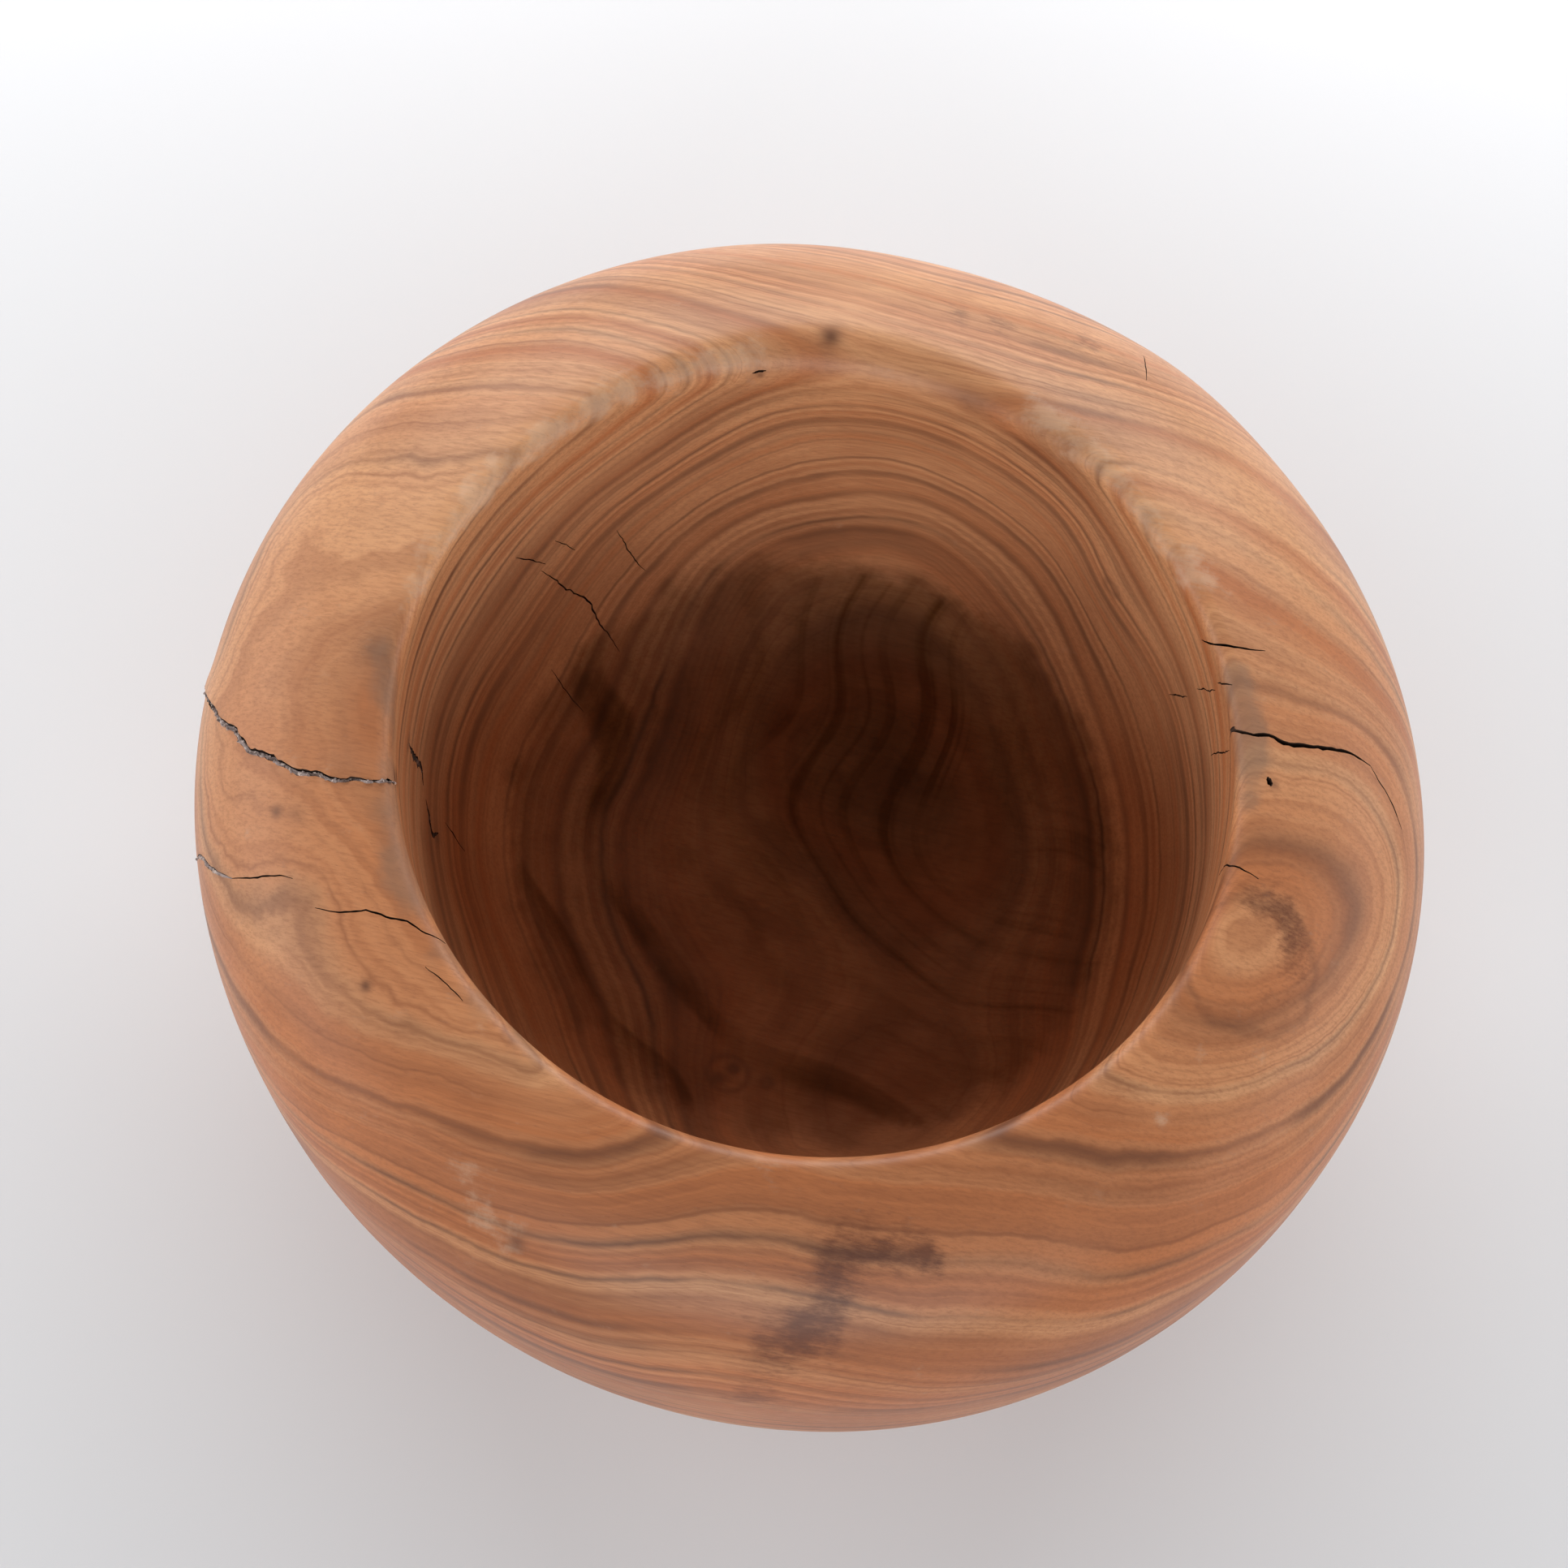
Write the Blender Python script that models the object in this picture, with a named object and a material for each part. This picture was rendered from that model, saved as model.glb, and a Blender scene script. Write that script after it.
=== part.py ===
"""Turned wooden yarn bowl with a thick rolled-in rim and stopped drying cracks.

Lengths are in millimetres until the mesh is made, then metres. +Z is up, the foot stands on
z = 0, and the bounding box is centred on x = y = 0. Angles are in degrees about +Z from +X.
A place on the bowl is an angle and a station: the distance along the section from the top of
the lip, positive down the outside and negative down the inside.
"""
import math

import bmesh
import bpy
from mathutils import Vector

MM = 0.001

# Outside of the bowl
WIDEST_RADIUS = 80.0
WIDEST_HEIGHT = 57.0
SHOULDER_RISE = 34.2
SHOULDER_POWER = 3.0
FLANK_POWER = 2.77

# Green wood shrinks across the rings, so the outline is slightly oval and uneven
OVAL_AMOUNT = 0.018
OVAL_ANGLE = -30.0
# Each unevenness: angle, half width in degrees, part of the radius
OUTLINE_BUMPS = ((53.0, 9.0, 0.007), (80.0, 13.0, -0.006))

# Foot
FOOT_RADIUS = 38.0
FOOT_EDGE = 0.8
RECESS_RADIUS = 22.0
RECESS_DEPTH = 2.2
RECESS_BEVEL = 1.6

# Lip: a small rounding, worn softer on the far side
LIP_RADIUS = 2.2
LIP_WEAR = 3.6
LIP_WEAR_ANGLE = 88.0
LIP_WEAR_WIDTH = 28.0
LIP_SLOPE = 16.0

# Hollow
MOUTH_RADIUS = 52.4
HOLLOW_TOP = 86.0
FLOOR_HEIGHT = 16.0
HOLLOW_POWER = 3.5

# Mesh counts
SEGMENTS = 80
FLANK_STEPS = 10
SHOULDER_STEPS = 11
LIP_STEPS = 6
HOLLOW_STEPS = 15

# Cracks: waypoints of angle and station
RIM_CRACK = (
    (172.6, 37.5),
    (176.0, 30.0),
    (179.0, 24.5),
    (183.0, 16.5),
    (186.0, 11.0),
    (188.0, 6.0),
    (189.5, 2.5),
)
FLANK_CRACK = ((190.2, 37.0), (191.2, 32.5), (193.8, 27.0), (195.6, 22.5))
UPPER_WALL_CRACK = ((176.6, -19.0), (176.0, -24.5), (176.4, -30.0), (176.2, -34.0))
LOWER_WALL_CRACK = ((177.6, -35.8), (179.0, -40.0), (181.6, -44.6))
MAIN_OPEN_CRACK = (
    (8.5, -4.0),
    (6.0, 1.3),
    (6.0, 3.6),
    (5.0, 6.1),
    (5.3, 12.6),
    (4.8, 15.6),
    (4.0, 18.8),
)
SMALL_OPEN_CRACK = ((20.2, -1.0), (18.0, 2.8), (17.0, 6.2))
FRONT_OPEN_CRACK = (
    (202.0, 13.6),
    (204.0, 8.8),
    (206.0, 4.8),
    (208.6, 2.6),
    (211.5, 0.6),
    (215.0, -2.4),
)

# Cuts along the cracks, and the filler that stands in four of them
FILLED_WIDTH = 1.8
FILLED_DEPTH = 3.2
OPEN_WIDTH = 0.9
OPEN_DEPTH = 4.0
GAP = 0.3
PROUD = 0.3
CUTTER_RISE = 2.0
PATH_STEP = 2.0

# Measuring and finishing
MEASURE_FINENESS = 6
NORMAL_REACH = 0.3
STEPS_BETWEEN_WAYPOINTS = 12
FLOOR_SPACING = 0.8
MERGE_DISTANCE_M = 0.00001
SHARP_ANGLE = 35.0

WOOD_COLOUR = (0.50, 0.27, 0.13, 1.0)
GREY_FILLER_COLOUR = (0.30, 0.25, 0.21, 1.0)
DARK_FILLER_COLOUR = (0.10, 0.06, 0.04, 1.0)


def clear_scene():
    for item in list(bpy.data.objects):
        bpy.data.objects.remove(item, do_unlink=True)


def angle_difference(a, b):
    return (a - b + 180.0) % 360.0 - 180.0


def outline(angle):
    """Radius of the outline at an angle, as a part of the round radius."""
    size = 1.0 + OVAL_AMOUNT * math.cos(2.0 * math.radians(angle - OVAL_ANGLE))
    for centre, width, amount in OUTLINE_BUMPS:
        size += amount * math.exp(-(angle_difference(angle, centre) / width) ** 2)
    return size


def lip_radius(angle):
    wear = math.exp(-(angle_difference(angle, LIP_WEAR_ANGLE) / LIP_WEAR_WIDTH) ** 2)
    return LIP_RADIUS + LIP_WEAR * wear


def shoulder_height(radius):
    part = 1.0 - (radius / WIDEST_RADIUS) ** SHOULDER_POWER
    return WIDEST_HEIGHT + SHOULDER_RISE * part ** (1.0 / SHOULDER_POWER)


def lip_arc(angle):
    """Centre and radius of the lip rounding in the section plane."""
    slope = math.radians(LIP_SLOPE)
    radius = lip_radius(angle)
    centre_r = MOUTH_RADIUS + radius
    drop = math.tan(slope) * radius + radius / math.cos(slope)
    return centre_r, shoulder_height(MOUTH_RADIUS) - drop, radius


def flank_points(steps):
    """Outside from the foot up to the widest line."""
    start = math.asin((FOOT_RADIUS / WIDEST_RADIUS) ** (FLANK_POWER / 2.0))
    points = []
    for i in range(steps):
        a = start + (math.pi / 2.0 - start) * i / steps
        r = WIDEST_RADIUS * math.sin(a) ** (2.0 / FLANK_POWER)
        z = WIDEST_HEIGHT * (1.0 - math.cos(a) ** (2.0 / FLANK_POWER))
        points.append((r, z))
    return points


def shoulder_points(angle, steps):
    """Outside from the widest line up to the start of the lip rounding."""
    centre_r, _, radius = lip_arc(angle)
    end_r = centre_r + radius * math.sin(math.radians(LIP_SLOPE))
    end = math.acos((end_r / WIDEST_RADIUS) ** (SHOULDER_POWER / 2.0))
    points = []
    for i in range(steps):
        b = end * i / steps
        r = WIDEST_RADIUS * math.cos(b) ** (2.0 / SHOULDER_POWER)
        z = WIDEST_HEIGHT + SHOULDER_RISE * math.sin(b) ** (2.0 / SHOULDER_POWER)
        points.append((r, z))
    return points


def lip_points(angle, steps):
    centre_r, centre_z, radius = lip_arc(angle)
    first = math.pi / 2.0 - math.radians(LIP_SLOPE)
    points = []
    for i in range(steps + 1):
        a = first + (math.pi - first) * i / steps
        points.append((centre_r + radius * math.cos(a), centre_z + radius * math.sin(a)))
    return points


def hollow_points(angle, steps):
    """Inside from just under the lip rounding to the middle of the floor, without the pole."""
    _, centre_z, _ = lip_arc(angle)
    height = HOLLOW_TOP - FLOOR_HEIGHT
    start = math.asin(((HOLLOW_TOP - centre_z) / height) ** (HOLLOW_POWER / 2.0))
    points = []
    for i in range(1, steps):
        g = start + (math.pi / 2.0 - start) * (i / steps) ** FLOOR_SPACING
        r = MOUTH_RADIUS * math.cos(g) ** (2.0 / HOLLOW_POWER)
        z = HOLLOW_TOP - height * math.sin(g) ** (2.0 / HOLLOW_POWER)
        points.append((r, z))
    return points


def section(angle, fineness):
    """Section from the foot over the lip to the floor, and the index of the lip's middle."""
    lip_steps = LIP_STEPS * fineness
    outside = flank_points(FLANK_STEPS * fineness) + shoulder_points(angle, SHOULDER_STEPS * fineness)
    inside = lip_points(angle, lip_steps) + hollow_points(angle, HOLLOW_STEPS * fineness)
    return outside + inside, len(outside) + lip_steps // 2


def outline_centre():
    """Middle of the outline's bounding box at the widest line."""
    xs = []
    ys = []
    for i in range(SEGMENTS):
        angle = 360.0 * i / SEGMENTS
        reach = WIDEST_RADIUS * outline(angle)
        xs.append(reach * math.cos(math.radians(angle)))
        ys.append(reach * math.sin(math.radians(angle)))
    return (min(xs) + max(xs)) / 2.0, (min(ys) + max(ys)) / 2.0


CENTRE_X, CENTRE_Y = outline_centre()


def place(radius, height, angle):
    reach = radius * outline(angle)
    x = reach * math.cos(math.radians(angle)) - CENTRE_X
    y = reach * math.sin(math.radians(angle)) - CENTRE_Y
    return Vector((x, y, height))


def on_surface(angle, station):
    """Point of the bowl at an angle and a distance from the top of the lip."""
    points, middle = section(angle, MEASURE_FINENESS)
    step = -1 if station > 0.0 else 1
    left = abs(station)
    i = middle
    while True:
        r0, z0 = points[i]
        r1, z1 = points[i + step]
        length = math.hypot(r1 - r0, z1 - z0)
        if left <= length:
            t = left / length
            return place(r0 + (r1 - r0) * t, z0 + (z1 - z0) * t, angle)
        left -= length
        i += step


def surface_normal(angle, station):
    around = on_surface(angle + NORMAL_REACH, station) - on_surface(angle - NORMAL_REACH, station)
    along = on_surface(angle, station + NORMAL_REACH) - on_surface(angle, station - NORMAL_REACH)
    return along.cross(around).normalized()


def new_mesh_object(name, vertices, faces, material):
    mesh = bpy.data.meshes.new(name)
    mesh.from_pydata([v * MM for v in vertices], [], faces)
    made = bmesh.new()
    made.from_mesh(mesh)
    bmesh.ops.recalc_face_normals(made, faces=made.faces)
    made.to_mesh(mesh)
    made.free()
    if material is not None:
        mesh.materials.append(material)
    item = bpy.data.objects.new(name, mesh)
    bpy.context.scene.collection.objects.link(item)
    return item


def new_material(name, colour, roughness):
    material = bpy.data.materials.new(name)
    material.use_nodes = True
    shader = material.node_tree.nodes["Principled BSDF"]
    shader.inputs["Base Color"].default_value = colour
    shader.inputs["Roughness"].default_value = roughness
    return material


def underside_points():
    """Recess and foot from near the middle out to the bottom of the flank."""
    return [
        (RECESS_RADIUS * 0.5, RECESS_DEPTH),
        (RECESS_RADIUS - RECESS_BEVEL, RECESS_DEPTH),
        (RECESS_RADIUS, 0.0),
        (FOOT_RADIUS - FOOT_EDGE, 0.0),
        (FOOT_RADIUS, FOOT_EDGE),
    ]


def bowl_vertices():
    rings = 0
    columns = []
    for i in range(SEGMENTS):
        angle = 360.0 * i / SEGMENTS
        points, _ = section(angle, 1)
        column = underside_points() + points
        rings = len(column)
        columns.append([place(r, z, angle) for r, z in column])
    vertices = [columns[i][j] for j in range(rings) for i in range(SEGMENTS)]
    vertices.append(Vector((-CENTRE_X, -CENTRE_Y, RECESS_DEPTH)))
    vertices.append(Vector((-CENTRE_X, -CENTRE_Y, FLOOR_HEIGHT)))
    return vertices, rings


def bowl_faces(rings):
    faces = []
    for j in range(rings - 1):
        for i in range(SEGMENTS):
            k = (i + 1) % SEGMENTS
            low = j * SEGMENTS
            high = low + SEGMENTS
            faces.append((low + i, low + k, high + k, high + i))
    under_pole = rings * SEGMENTS
    floor_pole = under_pole + 1
    last = (rings - 1) * SEGMENTS
    for i in range(SEGMENTS):
        k = (i + 1) % SEGMENTS
        faces.append((under_pole, k, i))
        faces.append((floor_pole, last + i, last + k))
    return faces


def crack_path(waypoints, trim):
    """Points along a crack on the bowl, shortened by trim at both ends."""
    dense = []
    for (a0, s0), (a1, s1) in zip(waypoints, waypoints[1:]):
        for k in range(STEPS_BETWEEN_WAYPOINTS):
            t = k / STEPS_BETWEEN_WAYPOINTS
            dense.append(on_surface(a0 + (a1 - a0) * t, s0 + (s1 - s0) * t))
    dense.append(on_surface(*waypoints[-1]))
    lengths = [0.0]
    for p, q in zip(dense, dense[1:]):
        lengths.append(lengths[-1] + (q - p).length)
    count = max(3, round(lengths[-1] / PATH_STEP))
    path = []
    for k in range(count + 1):
        want = trim + (lengths[-1] - 2.0 * trim) * k / count
        j = max(i for i in range(len(lengths) - 1) if lengths[i] <= want)
        t = (want - lengths[j]) / (lengths[j + 1] - lengths[j])
        path.append(dense[j].lerp(dense[j + 1], t))
    return path


def crack_direction(waypoints):
    """One direction out of the wood for the whole crack."""
    total = Vector((0.0, 0.0, 0.0))
    for angle, station in waypoints:
        total += surface_normal(angle, station)
    return total.normalized()


def strip_solid(name, waypoints, width, rise, depth, trim, material):
    """Closed strip that follows a crack, from depth under the surface to rise above it."""
    path = crack_path(waypoints, trim)
    out = crack_direction(waypoints)
    vertices = []
    for k, point in enumerate(path):
        ahead = path[min(k + 1, len(path) - 1)]
        behind = path[max(k - 1, 0)]
        side = (ahead - behind).cross(out).normalized() * (width / 2.0)
        for offset in (side - out * depth, side + out * rise, -side + out * rise, -side - out * depth):
            vertices.append(point + offset)
    faces = [(0, 1, 2, 3)]
    for k in range(len(path) - 1):
        for c in range(4):
            d = (c + 1) % 4
            faces.append((4 * k + c, 4 * k + d, 4 * k + 4 + d, 4 * k + 4 + c))
    last = 4 * (len(path) - 1)
    faces.append((last + 3, last + 2, last + 1, last))
    return new_mesh_object(name, vertices, faces, material)


def cut(body, cutter):
    cutter.hide_render = True
    cutter.display_type = "WIRE"
    change = body.modifiers.new(cutter.name, "BOOLEAN")
    change.operation = "DIFFERENCE"
    change.solver = "EXACT"
    change.object = cutter
    depsgraph = bpy.context.evaluated_depsgraph_get()
    result = bpy.data.meshes.new_from_object(body.evaluated_get(depsgraph))
    body.modifiers.remove(change)
    body.data = result
    bpy.data.objects.remove(cutter, do_unlink=True)


def tidy(item):
    """Merge coincident points and shade round faces smooth with sharp edges kept."""
    made = bmesh.new()
    made.from_mesh(item.data)
    bmesh.ops.remove_doubles(made, verts=made.verts, dist=MERGE_DISTANCE_M)
    bmesh.ops.recalc_face_normals(made, faces=made.faces)
    made.to_mesh(item.data)
    made.free()
    item.data.polygons.foreach_set("use_smooth", [True] * len(item.data.polygons))
    item.data.set_sharp_from_angle(angle=math.radians(SHARP_ANGLE))


def build_bowl(wood):
    vertices, rings = bowl_vertices()
    body = new_mesh_object("bowl_body", vertices, bowl_faces(rings), wood)
    for name, waypoints in (
        ("rim_groove", RIM_CRACK),
        ("flank_groove", FLANK_CRACK),
        ("upper_wall_groove", UPPER_WALL_CRACK),
        ("lower_wall_groove", LOWER_WALL_CRACK),
    ):
        cut(body, strip_solid(name, waypoints, FILLED_WIDTH, CUTTER_RISE, FILLED_DEPTH, 0.0, None))
    for name, waypoints in (
        ("main_crack", MAIN_OPEN_CRACK),
        ("small_crack", SMALL_OPEN_CRACK),
        ("front_crack", FRONT_OPEN_CRACK),
    ):
        cut(body, strip_solid(name, waypoints, OPEN_WIDTH, CUTTER_RISE, OPEN_DEPTH, 0.0, None))
    tidy(body)
    return body


def build_filler(name, waypoints, material):
    width = FILLED_WIDTH - 2.0 * GAP
    filler = strip_solid(name, waypoints, width, PROUD, FILLED_DEPTH - GAP, GAP, material)
    tidy(filler)
    return filler


def build():
    clear_scene()
    wood = new_material("bowl_wood", WOOD_COLOUR, 0.45)
    grey = new_material("grey_filler", GREY_FILLER_COLOUR, 0.8)
    dark = new_material("dark_filler", DARK_FILLER_COLOUR, 0.8)
    build_bowl(wood)
    build_filler("rim_crack_filler", RIM_CRACK, grey)
    build_filler("flank_crack_filler", FLANK_CRACK, grey)
    build_filler("wall_crack_filler_upper", UPPER_WALL_CRACK, dark)
    build_filler("wall_crack_filler_lower", LOWER_WALL_CRACK, dark)


build()
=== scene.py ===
# %% [markdown]
# # A turned wooden yarn bowl
#
# A yarn bowl keeps a ball of yarn from rolling away while someone knits. This one is turned from
# one block of figured, light orange-brown fruitwood. Its rim is thick and rolled in, its mouth is
# wide, and its hollow is deep and round. The wood was turned before it was dry, so it has shrunk a
# little out of round and cracked across the rim. The maker stopped the worst cracks with glue and
# sanding dust, and left the fine ones open.
#
# The lesson builds it in this order: the frame, the camera, the turned shape, the cracks, the
# filler, the wood's figure, and last the floor and the lights.

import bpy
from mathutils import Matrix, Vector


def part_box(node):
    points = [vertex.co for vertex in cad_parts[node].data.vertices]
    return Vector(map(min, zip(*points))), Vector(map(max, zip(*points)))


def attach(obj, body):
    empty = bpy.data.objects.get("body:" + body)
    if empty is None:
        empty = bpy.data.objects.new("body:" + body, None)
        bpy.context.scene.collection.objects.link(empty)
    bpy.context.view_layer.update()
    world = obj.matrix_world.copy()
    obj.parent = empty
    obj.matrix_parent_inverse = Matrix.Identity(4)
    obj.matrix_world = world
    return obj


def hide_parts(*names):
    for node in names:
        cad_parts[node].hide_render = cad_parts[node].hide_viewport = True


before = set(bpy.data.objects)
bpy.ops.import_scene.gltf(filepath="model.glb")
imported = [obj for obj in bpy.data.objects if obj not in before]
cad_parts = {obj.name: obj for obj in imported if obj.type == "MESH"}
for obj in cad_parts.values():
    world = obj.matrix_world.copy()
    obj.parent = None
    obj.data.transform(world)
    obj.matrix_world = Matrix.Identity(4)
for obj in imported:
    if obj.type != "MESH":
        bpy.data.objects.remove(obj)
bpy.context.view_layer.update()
print("frame nodes:", sorted(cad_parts))

# %% [markdown]
# ## Sizes
#
# A turner works from a few numbers: how wide the blank is, how high its widest line stands, how
# wide the mouth is and how thick the floor is left. Everything else on the bowl follows from these
# by a rule. They are in millimetres, because that is how such a drawing is read, and they become
# metres only when a mesh is made. The cell ends by measuring the frame's own bowl, which these
# numbers have to match.

# %% Sizes of the bowl
import math
import random

import bmesh
import bpy
from mathutils import Matrix, Vector
from mathutils.bvhtree import BVHTree
from mathutils.kdtree import KDTree

MM = 0.001
OVAL_AMOUNT = 0.018
OVAL_ANGLE = -30.0
OUTLINE_BUMPS = ((53.0, 9.0, 0.007), (80.0, 13.0, -0.006))
WIDEST_RADIUS = 80.0
WIDEST_HEIGHT = 57.0
SHOULDER_RISE = 34.2
SHOULDER_POWER = 3.0
FLANK_POWER = 2.77
FOOT_RADIUS = 38.0
FOOT_EDGE = 0.8
RECESS_RADIUS = 22.0
RECESS_DEPTH = 2.2
RECESS_BEVEL = 1.6
LIP_SLOPE = 16.0
CRISP_LIP = 2.2
WORN_LIP = 5.8
WEAR_ANGLE = 88.0
WEAR_WIDTH = 28.0
MOUTH_RADIUS = 52.4
HOLLOW_TOP = 86.0
FLOOR_HEIGHT = 16.0
HOLLOW_POWER = 3.5

body_low, body_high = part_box("bowl_body")
print("widest across, mm:", round((body_high[0] - body_low[0]) / MM, 1))

# %% [markdown]
# ## Camera
#
# The bowl is seen from steeply above, from about half a metre away, through a long lens, so the
# near rim looks only a little larger than the far one. The camera looks at the middle of the
# widest line and is rolled a few degrees. A small lens shift places the bowl in the picture
# without turning the camera.

# %% Camera
CAMERA_ELEVATION = 71.9
CAMERA_DISTANCE = 480.0
CAMERA_ROLL = -4.13
CAMERA_LENS = 83.0
SHIFT_RIGHT = 0.0159
SHIFT_DOWN = 0.0232


def make_camera():
    rise = math.radians(CAMERA_ELEVATION)
    data = bpy.data.cameras.new("camera")
    data.lens = CAMERA_LENS
    data.sensor_width = 36.0
    data.clip_start = 0.01
    data.shift_x = -SHIFT_RIGHT
    data.shift_y = SHIFT_DOWN
    item = bpy.data.objects.new("camera", data)
    bpy.context.scene.collection.objects.link(item)
    target = Vector((0.0, 0.0, WIDEST_HEIGHT)) * MM
    back = Vector((0.0, -math.cos(rise), math.sin(rise)))
    right = Vector((1.0, 0.0, 0.0))
    up = back.cross(right)
    roll = math.radians(CAMERA_ROLL)
    rolled_right = right * math.cos(roll) - up * math.sin(roll)
    rolled_up = right * math.sin(roll) + up * math.cos(roll)
    turn = Matrix((rolled_right, rolled_up, back)).transposed()
    place = Matrix.Translation(target + back * CAMERA_DISTANCE * MM)
    item.matrix_world = place @ turn.to_4x4()
    bpy.context.scene.camera = item
    return item


camera = make_camera()
print("camera at, mm:", [round(v / MM) for v in camera.location])

# %% [markdown]
# ## The turned section
#
# Half of a cut through the middle of the bowl is all that a turner shapes. Here it is a line of
# points that starts under the foot, climbs the flank and the shoulder, rounds the lip and goes
# down the hollow to the middle of the floor. The flank, the shoulder and the hollow are
# superellipses: a circle is one of power 2, and a higher power gives the full, nearly square
# shoulder of this bowl.
#
# The lip was sanded crisp on the near side and worn softer on the far side, so two sections are
# made with the same number of points. The next step blends them as it goes round.

# %% The section's points
UNDERSIDE_STEPS = (8, 4, 8, 3)
FLANK_STEPS = 38
SHOULDER_STEPS = 48
LIP_STEPS = 16
HOLLOW_STEPS = 74
SHOULDER_SPACING = 0.9
FLOOR_SPACING = 0.8


def shoulder_height(radius):
    part = 1.0 - (radius / WIDEST_RADIUS) ** SHOULDER_POWER
    return WIDEST_HEIGHT + SHOULDER_RISE * part ** (1.0 / SHOULDER_POWER)


def lip_arc(lip):
    """Centre and radius of the lip rounding in the section plane."""
    slope = math.radians(LIP_SLOPE)
    drop = math.tan(slope) * lip + lip / math.cos(slope)
    return MOUTH_RADIUS + lip, shoulder_height(MOUTH_RADIUS) - drop


def underside_points():
    corners = (
        (0.0, RECESS_DEPTH),
        (RECESS_RADIUS - RECESS_BEVEL, RECESS_DEPTH),
        (RECESS_RADIUS, 0.0),
        (FOOT_RADIUS - FOOT_EDGE, 0.0),
        (FOOT_RADIUS, FOOT_EDGE),
    )
    points = []
    for (r0, z0), (r1, z1), count in zip(corners, corners[1:], UNDERSIDE_STEPS):
        points += [(r0 + (r1 - r0) * i / count, z0 + (z1 - z0) * i / count) for i in range(count)]
    return points + [corners[-1]]


def flank_points():
    start = math.asin((FOOT_RADIUS / WIDEST_RADIUS) ** (FLANK_POWER / 2.0))
    points = []
    for i in range(FLANK_STEPS):
        a = start + (math.pi / 2.0 - start) * i / FLANK_STEPS
        r = WIDEST_RADIUS * math.sin(a) ** (2.0 / FLANK_POWER)
        points.append((r, WIDEST_HEIGHT * (1.0 - math.cos(a) ** (2.0 / FLANK_POWER))))
    return points


def shoulder_points(lip):
    end_r = lip_arc(lip)[0] + lip * math.sin(math.radians(LIP_SLOPE))
    end = math.acos((end_r / WIDEST_RADIUS) ** (SHOULDER_POWER / 2.0))
    points = []
    for i in range(SHOULDER_STEPS):
        b = end * (i / SHOULDER_STEPS) ** SHOULDER_SPACING
        r = WIDEST_RADIUS * math.cos(b) ** (2.0 / SHOULDER_POWER)
        points.append((r, WIDEST_HEIGHT + SHOULDER_RISE * math.sin(b) ** (2.0 / SHOULDER_POWER)))
    return points


def lip_points(lip):
    centre_r, centre_z = lip_arc(lip)
    first = math.pi / 2.0 - math.radians(LIP_SLOPE)
    turns = [first + (math.pi - first) * i / LIP_STEPS for i in range(LIP_STEPS + 1)]
    return [(centre_r + lip * math.cos(a), centre_z + lip * math.sin(a)) for a in turns]


def hollow_points(lip):
    height = HOLLOW_TOP - FLOOR_HEIGHT
    start = math.asin(((HOLLOW_TOP - lip_arc(lip)[1]) / height) ** (HOLLOW_POWER / 2.0))
    points = []
    for i in range(1, HOLLOW_STEPS + 1):
        g = start + (math.pi / 2.0 - start) * (i / HOLLOW_STEPS) ** FLOOR_SPACING
        r = MOUTH_RADIUS * max(math.cos(g), 0.0) ** (2.0 / HOLLOW_POWER)
        points.append((r, HOLLOW_TOP - height * math.sin(g) ** (2.0 / HOLLOW_POWER)))
    points[-1] = (0.0, FLOOR_HEIGHT)
    return points


def section(lip):
    """Section from under the foot to the floor, and the index of the lip's middle."""
    outside = underside_points() + flank_points() + shoulder_points(lip)
    return outside + lip_points(lip) + hollow_points(lip), len(outside) + LIP_STEPS // 2


crisp_section, lip_index = section(CRISP_LIP)
worn_section, _ = section(WORN_LIP)
print("points in each section:", len(crisp_section), len(worn_section))

# %% [markdown]
# ## Turning the section
#
# The bowl is a main piece whose shape follows a rule, so Geometry Nodes turn it. A flat grid is
# wrapped round the axis: its rows are the section's points and its columns are the angles. Each
# grid point reads its radius and height from the two section lines, which are blended by how worn
# the lip is at that angle. The radius is then multiplied by the outline rule, which holds the
# oval and the two small bumps that drying left. Merging the seam and the poles closes the skin,
# and a slow noise pushes it in and out by a few hundredths of a millimetre, as sanding does. Last,
# the foot is rubbed flat, so that nothing reaches below the table.
#
# A helper places one node and wires it. Each value is either a number or another node's output.

# %% A helper for node trees
def wire(tree, kind, values=(), out=0, **settings):
    """Adds a node, sets its inputs from numbers or outputs, and returns one of its outputs."""
    node = tree.nodes.new(kind)
    for name, value in settings.items():
        setattr(node, name, value)
    pairs = values.items() if isinstance(values, dict) else enumerate(values)
    for key, value in pairs:
        if value is None:
            continue
        if isinstance(value, bpy.types.NodeSocket):
            tree.links.new(value, node.inputs[key])
        else:
            node.inputs[key].default_value = value
    return node.outputs[out]


def calc(tree, operation, *values, **settings):
    return wire(tree, "ShaderNodeMath", values, operation=operation, **settings)


def bell(tree, value, width):
    """exp(-(value / width)^2), which is 1 at zero and fades to nothing a few widths away."""
    square = calc(tree, "POWER", calc(tree, "ABSOLUTE", calc(tree, "DIVIDE", value, width)), 2.0)
    return calc(tree, "EXPONENT", calc(tree, "MULTIPLY", square, -1.0))


def xyz(tree, place):
    """The three outputs of a place taken apart."""
    parts = tree.nodes.new("ShaderNodeSeparateXYZ")
    tree.links.new(place, parts.inputs[0])
    return parts.outputs


def add_inputs(tree, sockets):
    for name, kind, default in sockets:
        made = tree.interface.new_socket(name=name, in_out="INPUT", socket_type=kind)
        if default is not None:
            made.default_value = default
    return tree.nodes.new("NodeGroupInput").outputs


print("node helpers ready:", wire.__name__, calc.__name__, bell.__name__, add_inputs.__name__)

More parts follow.
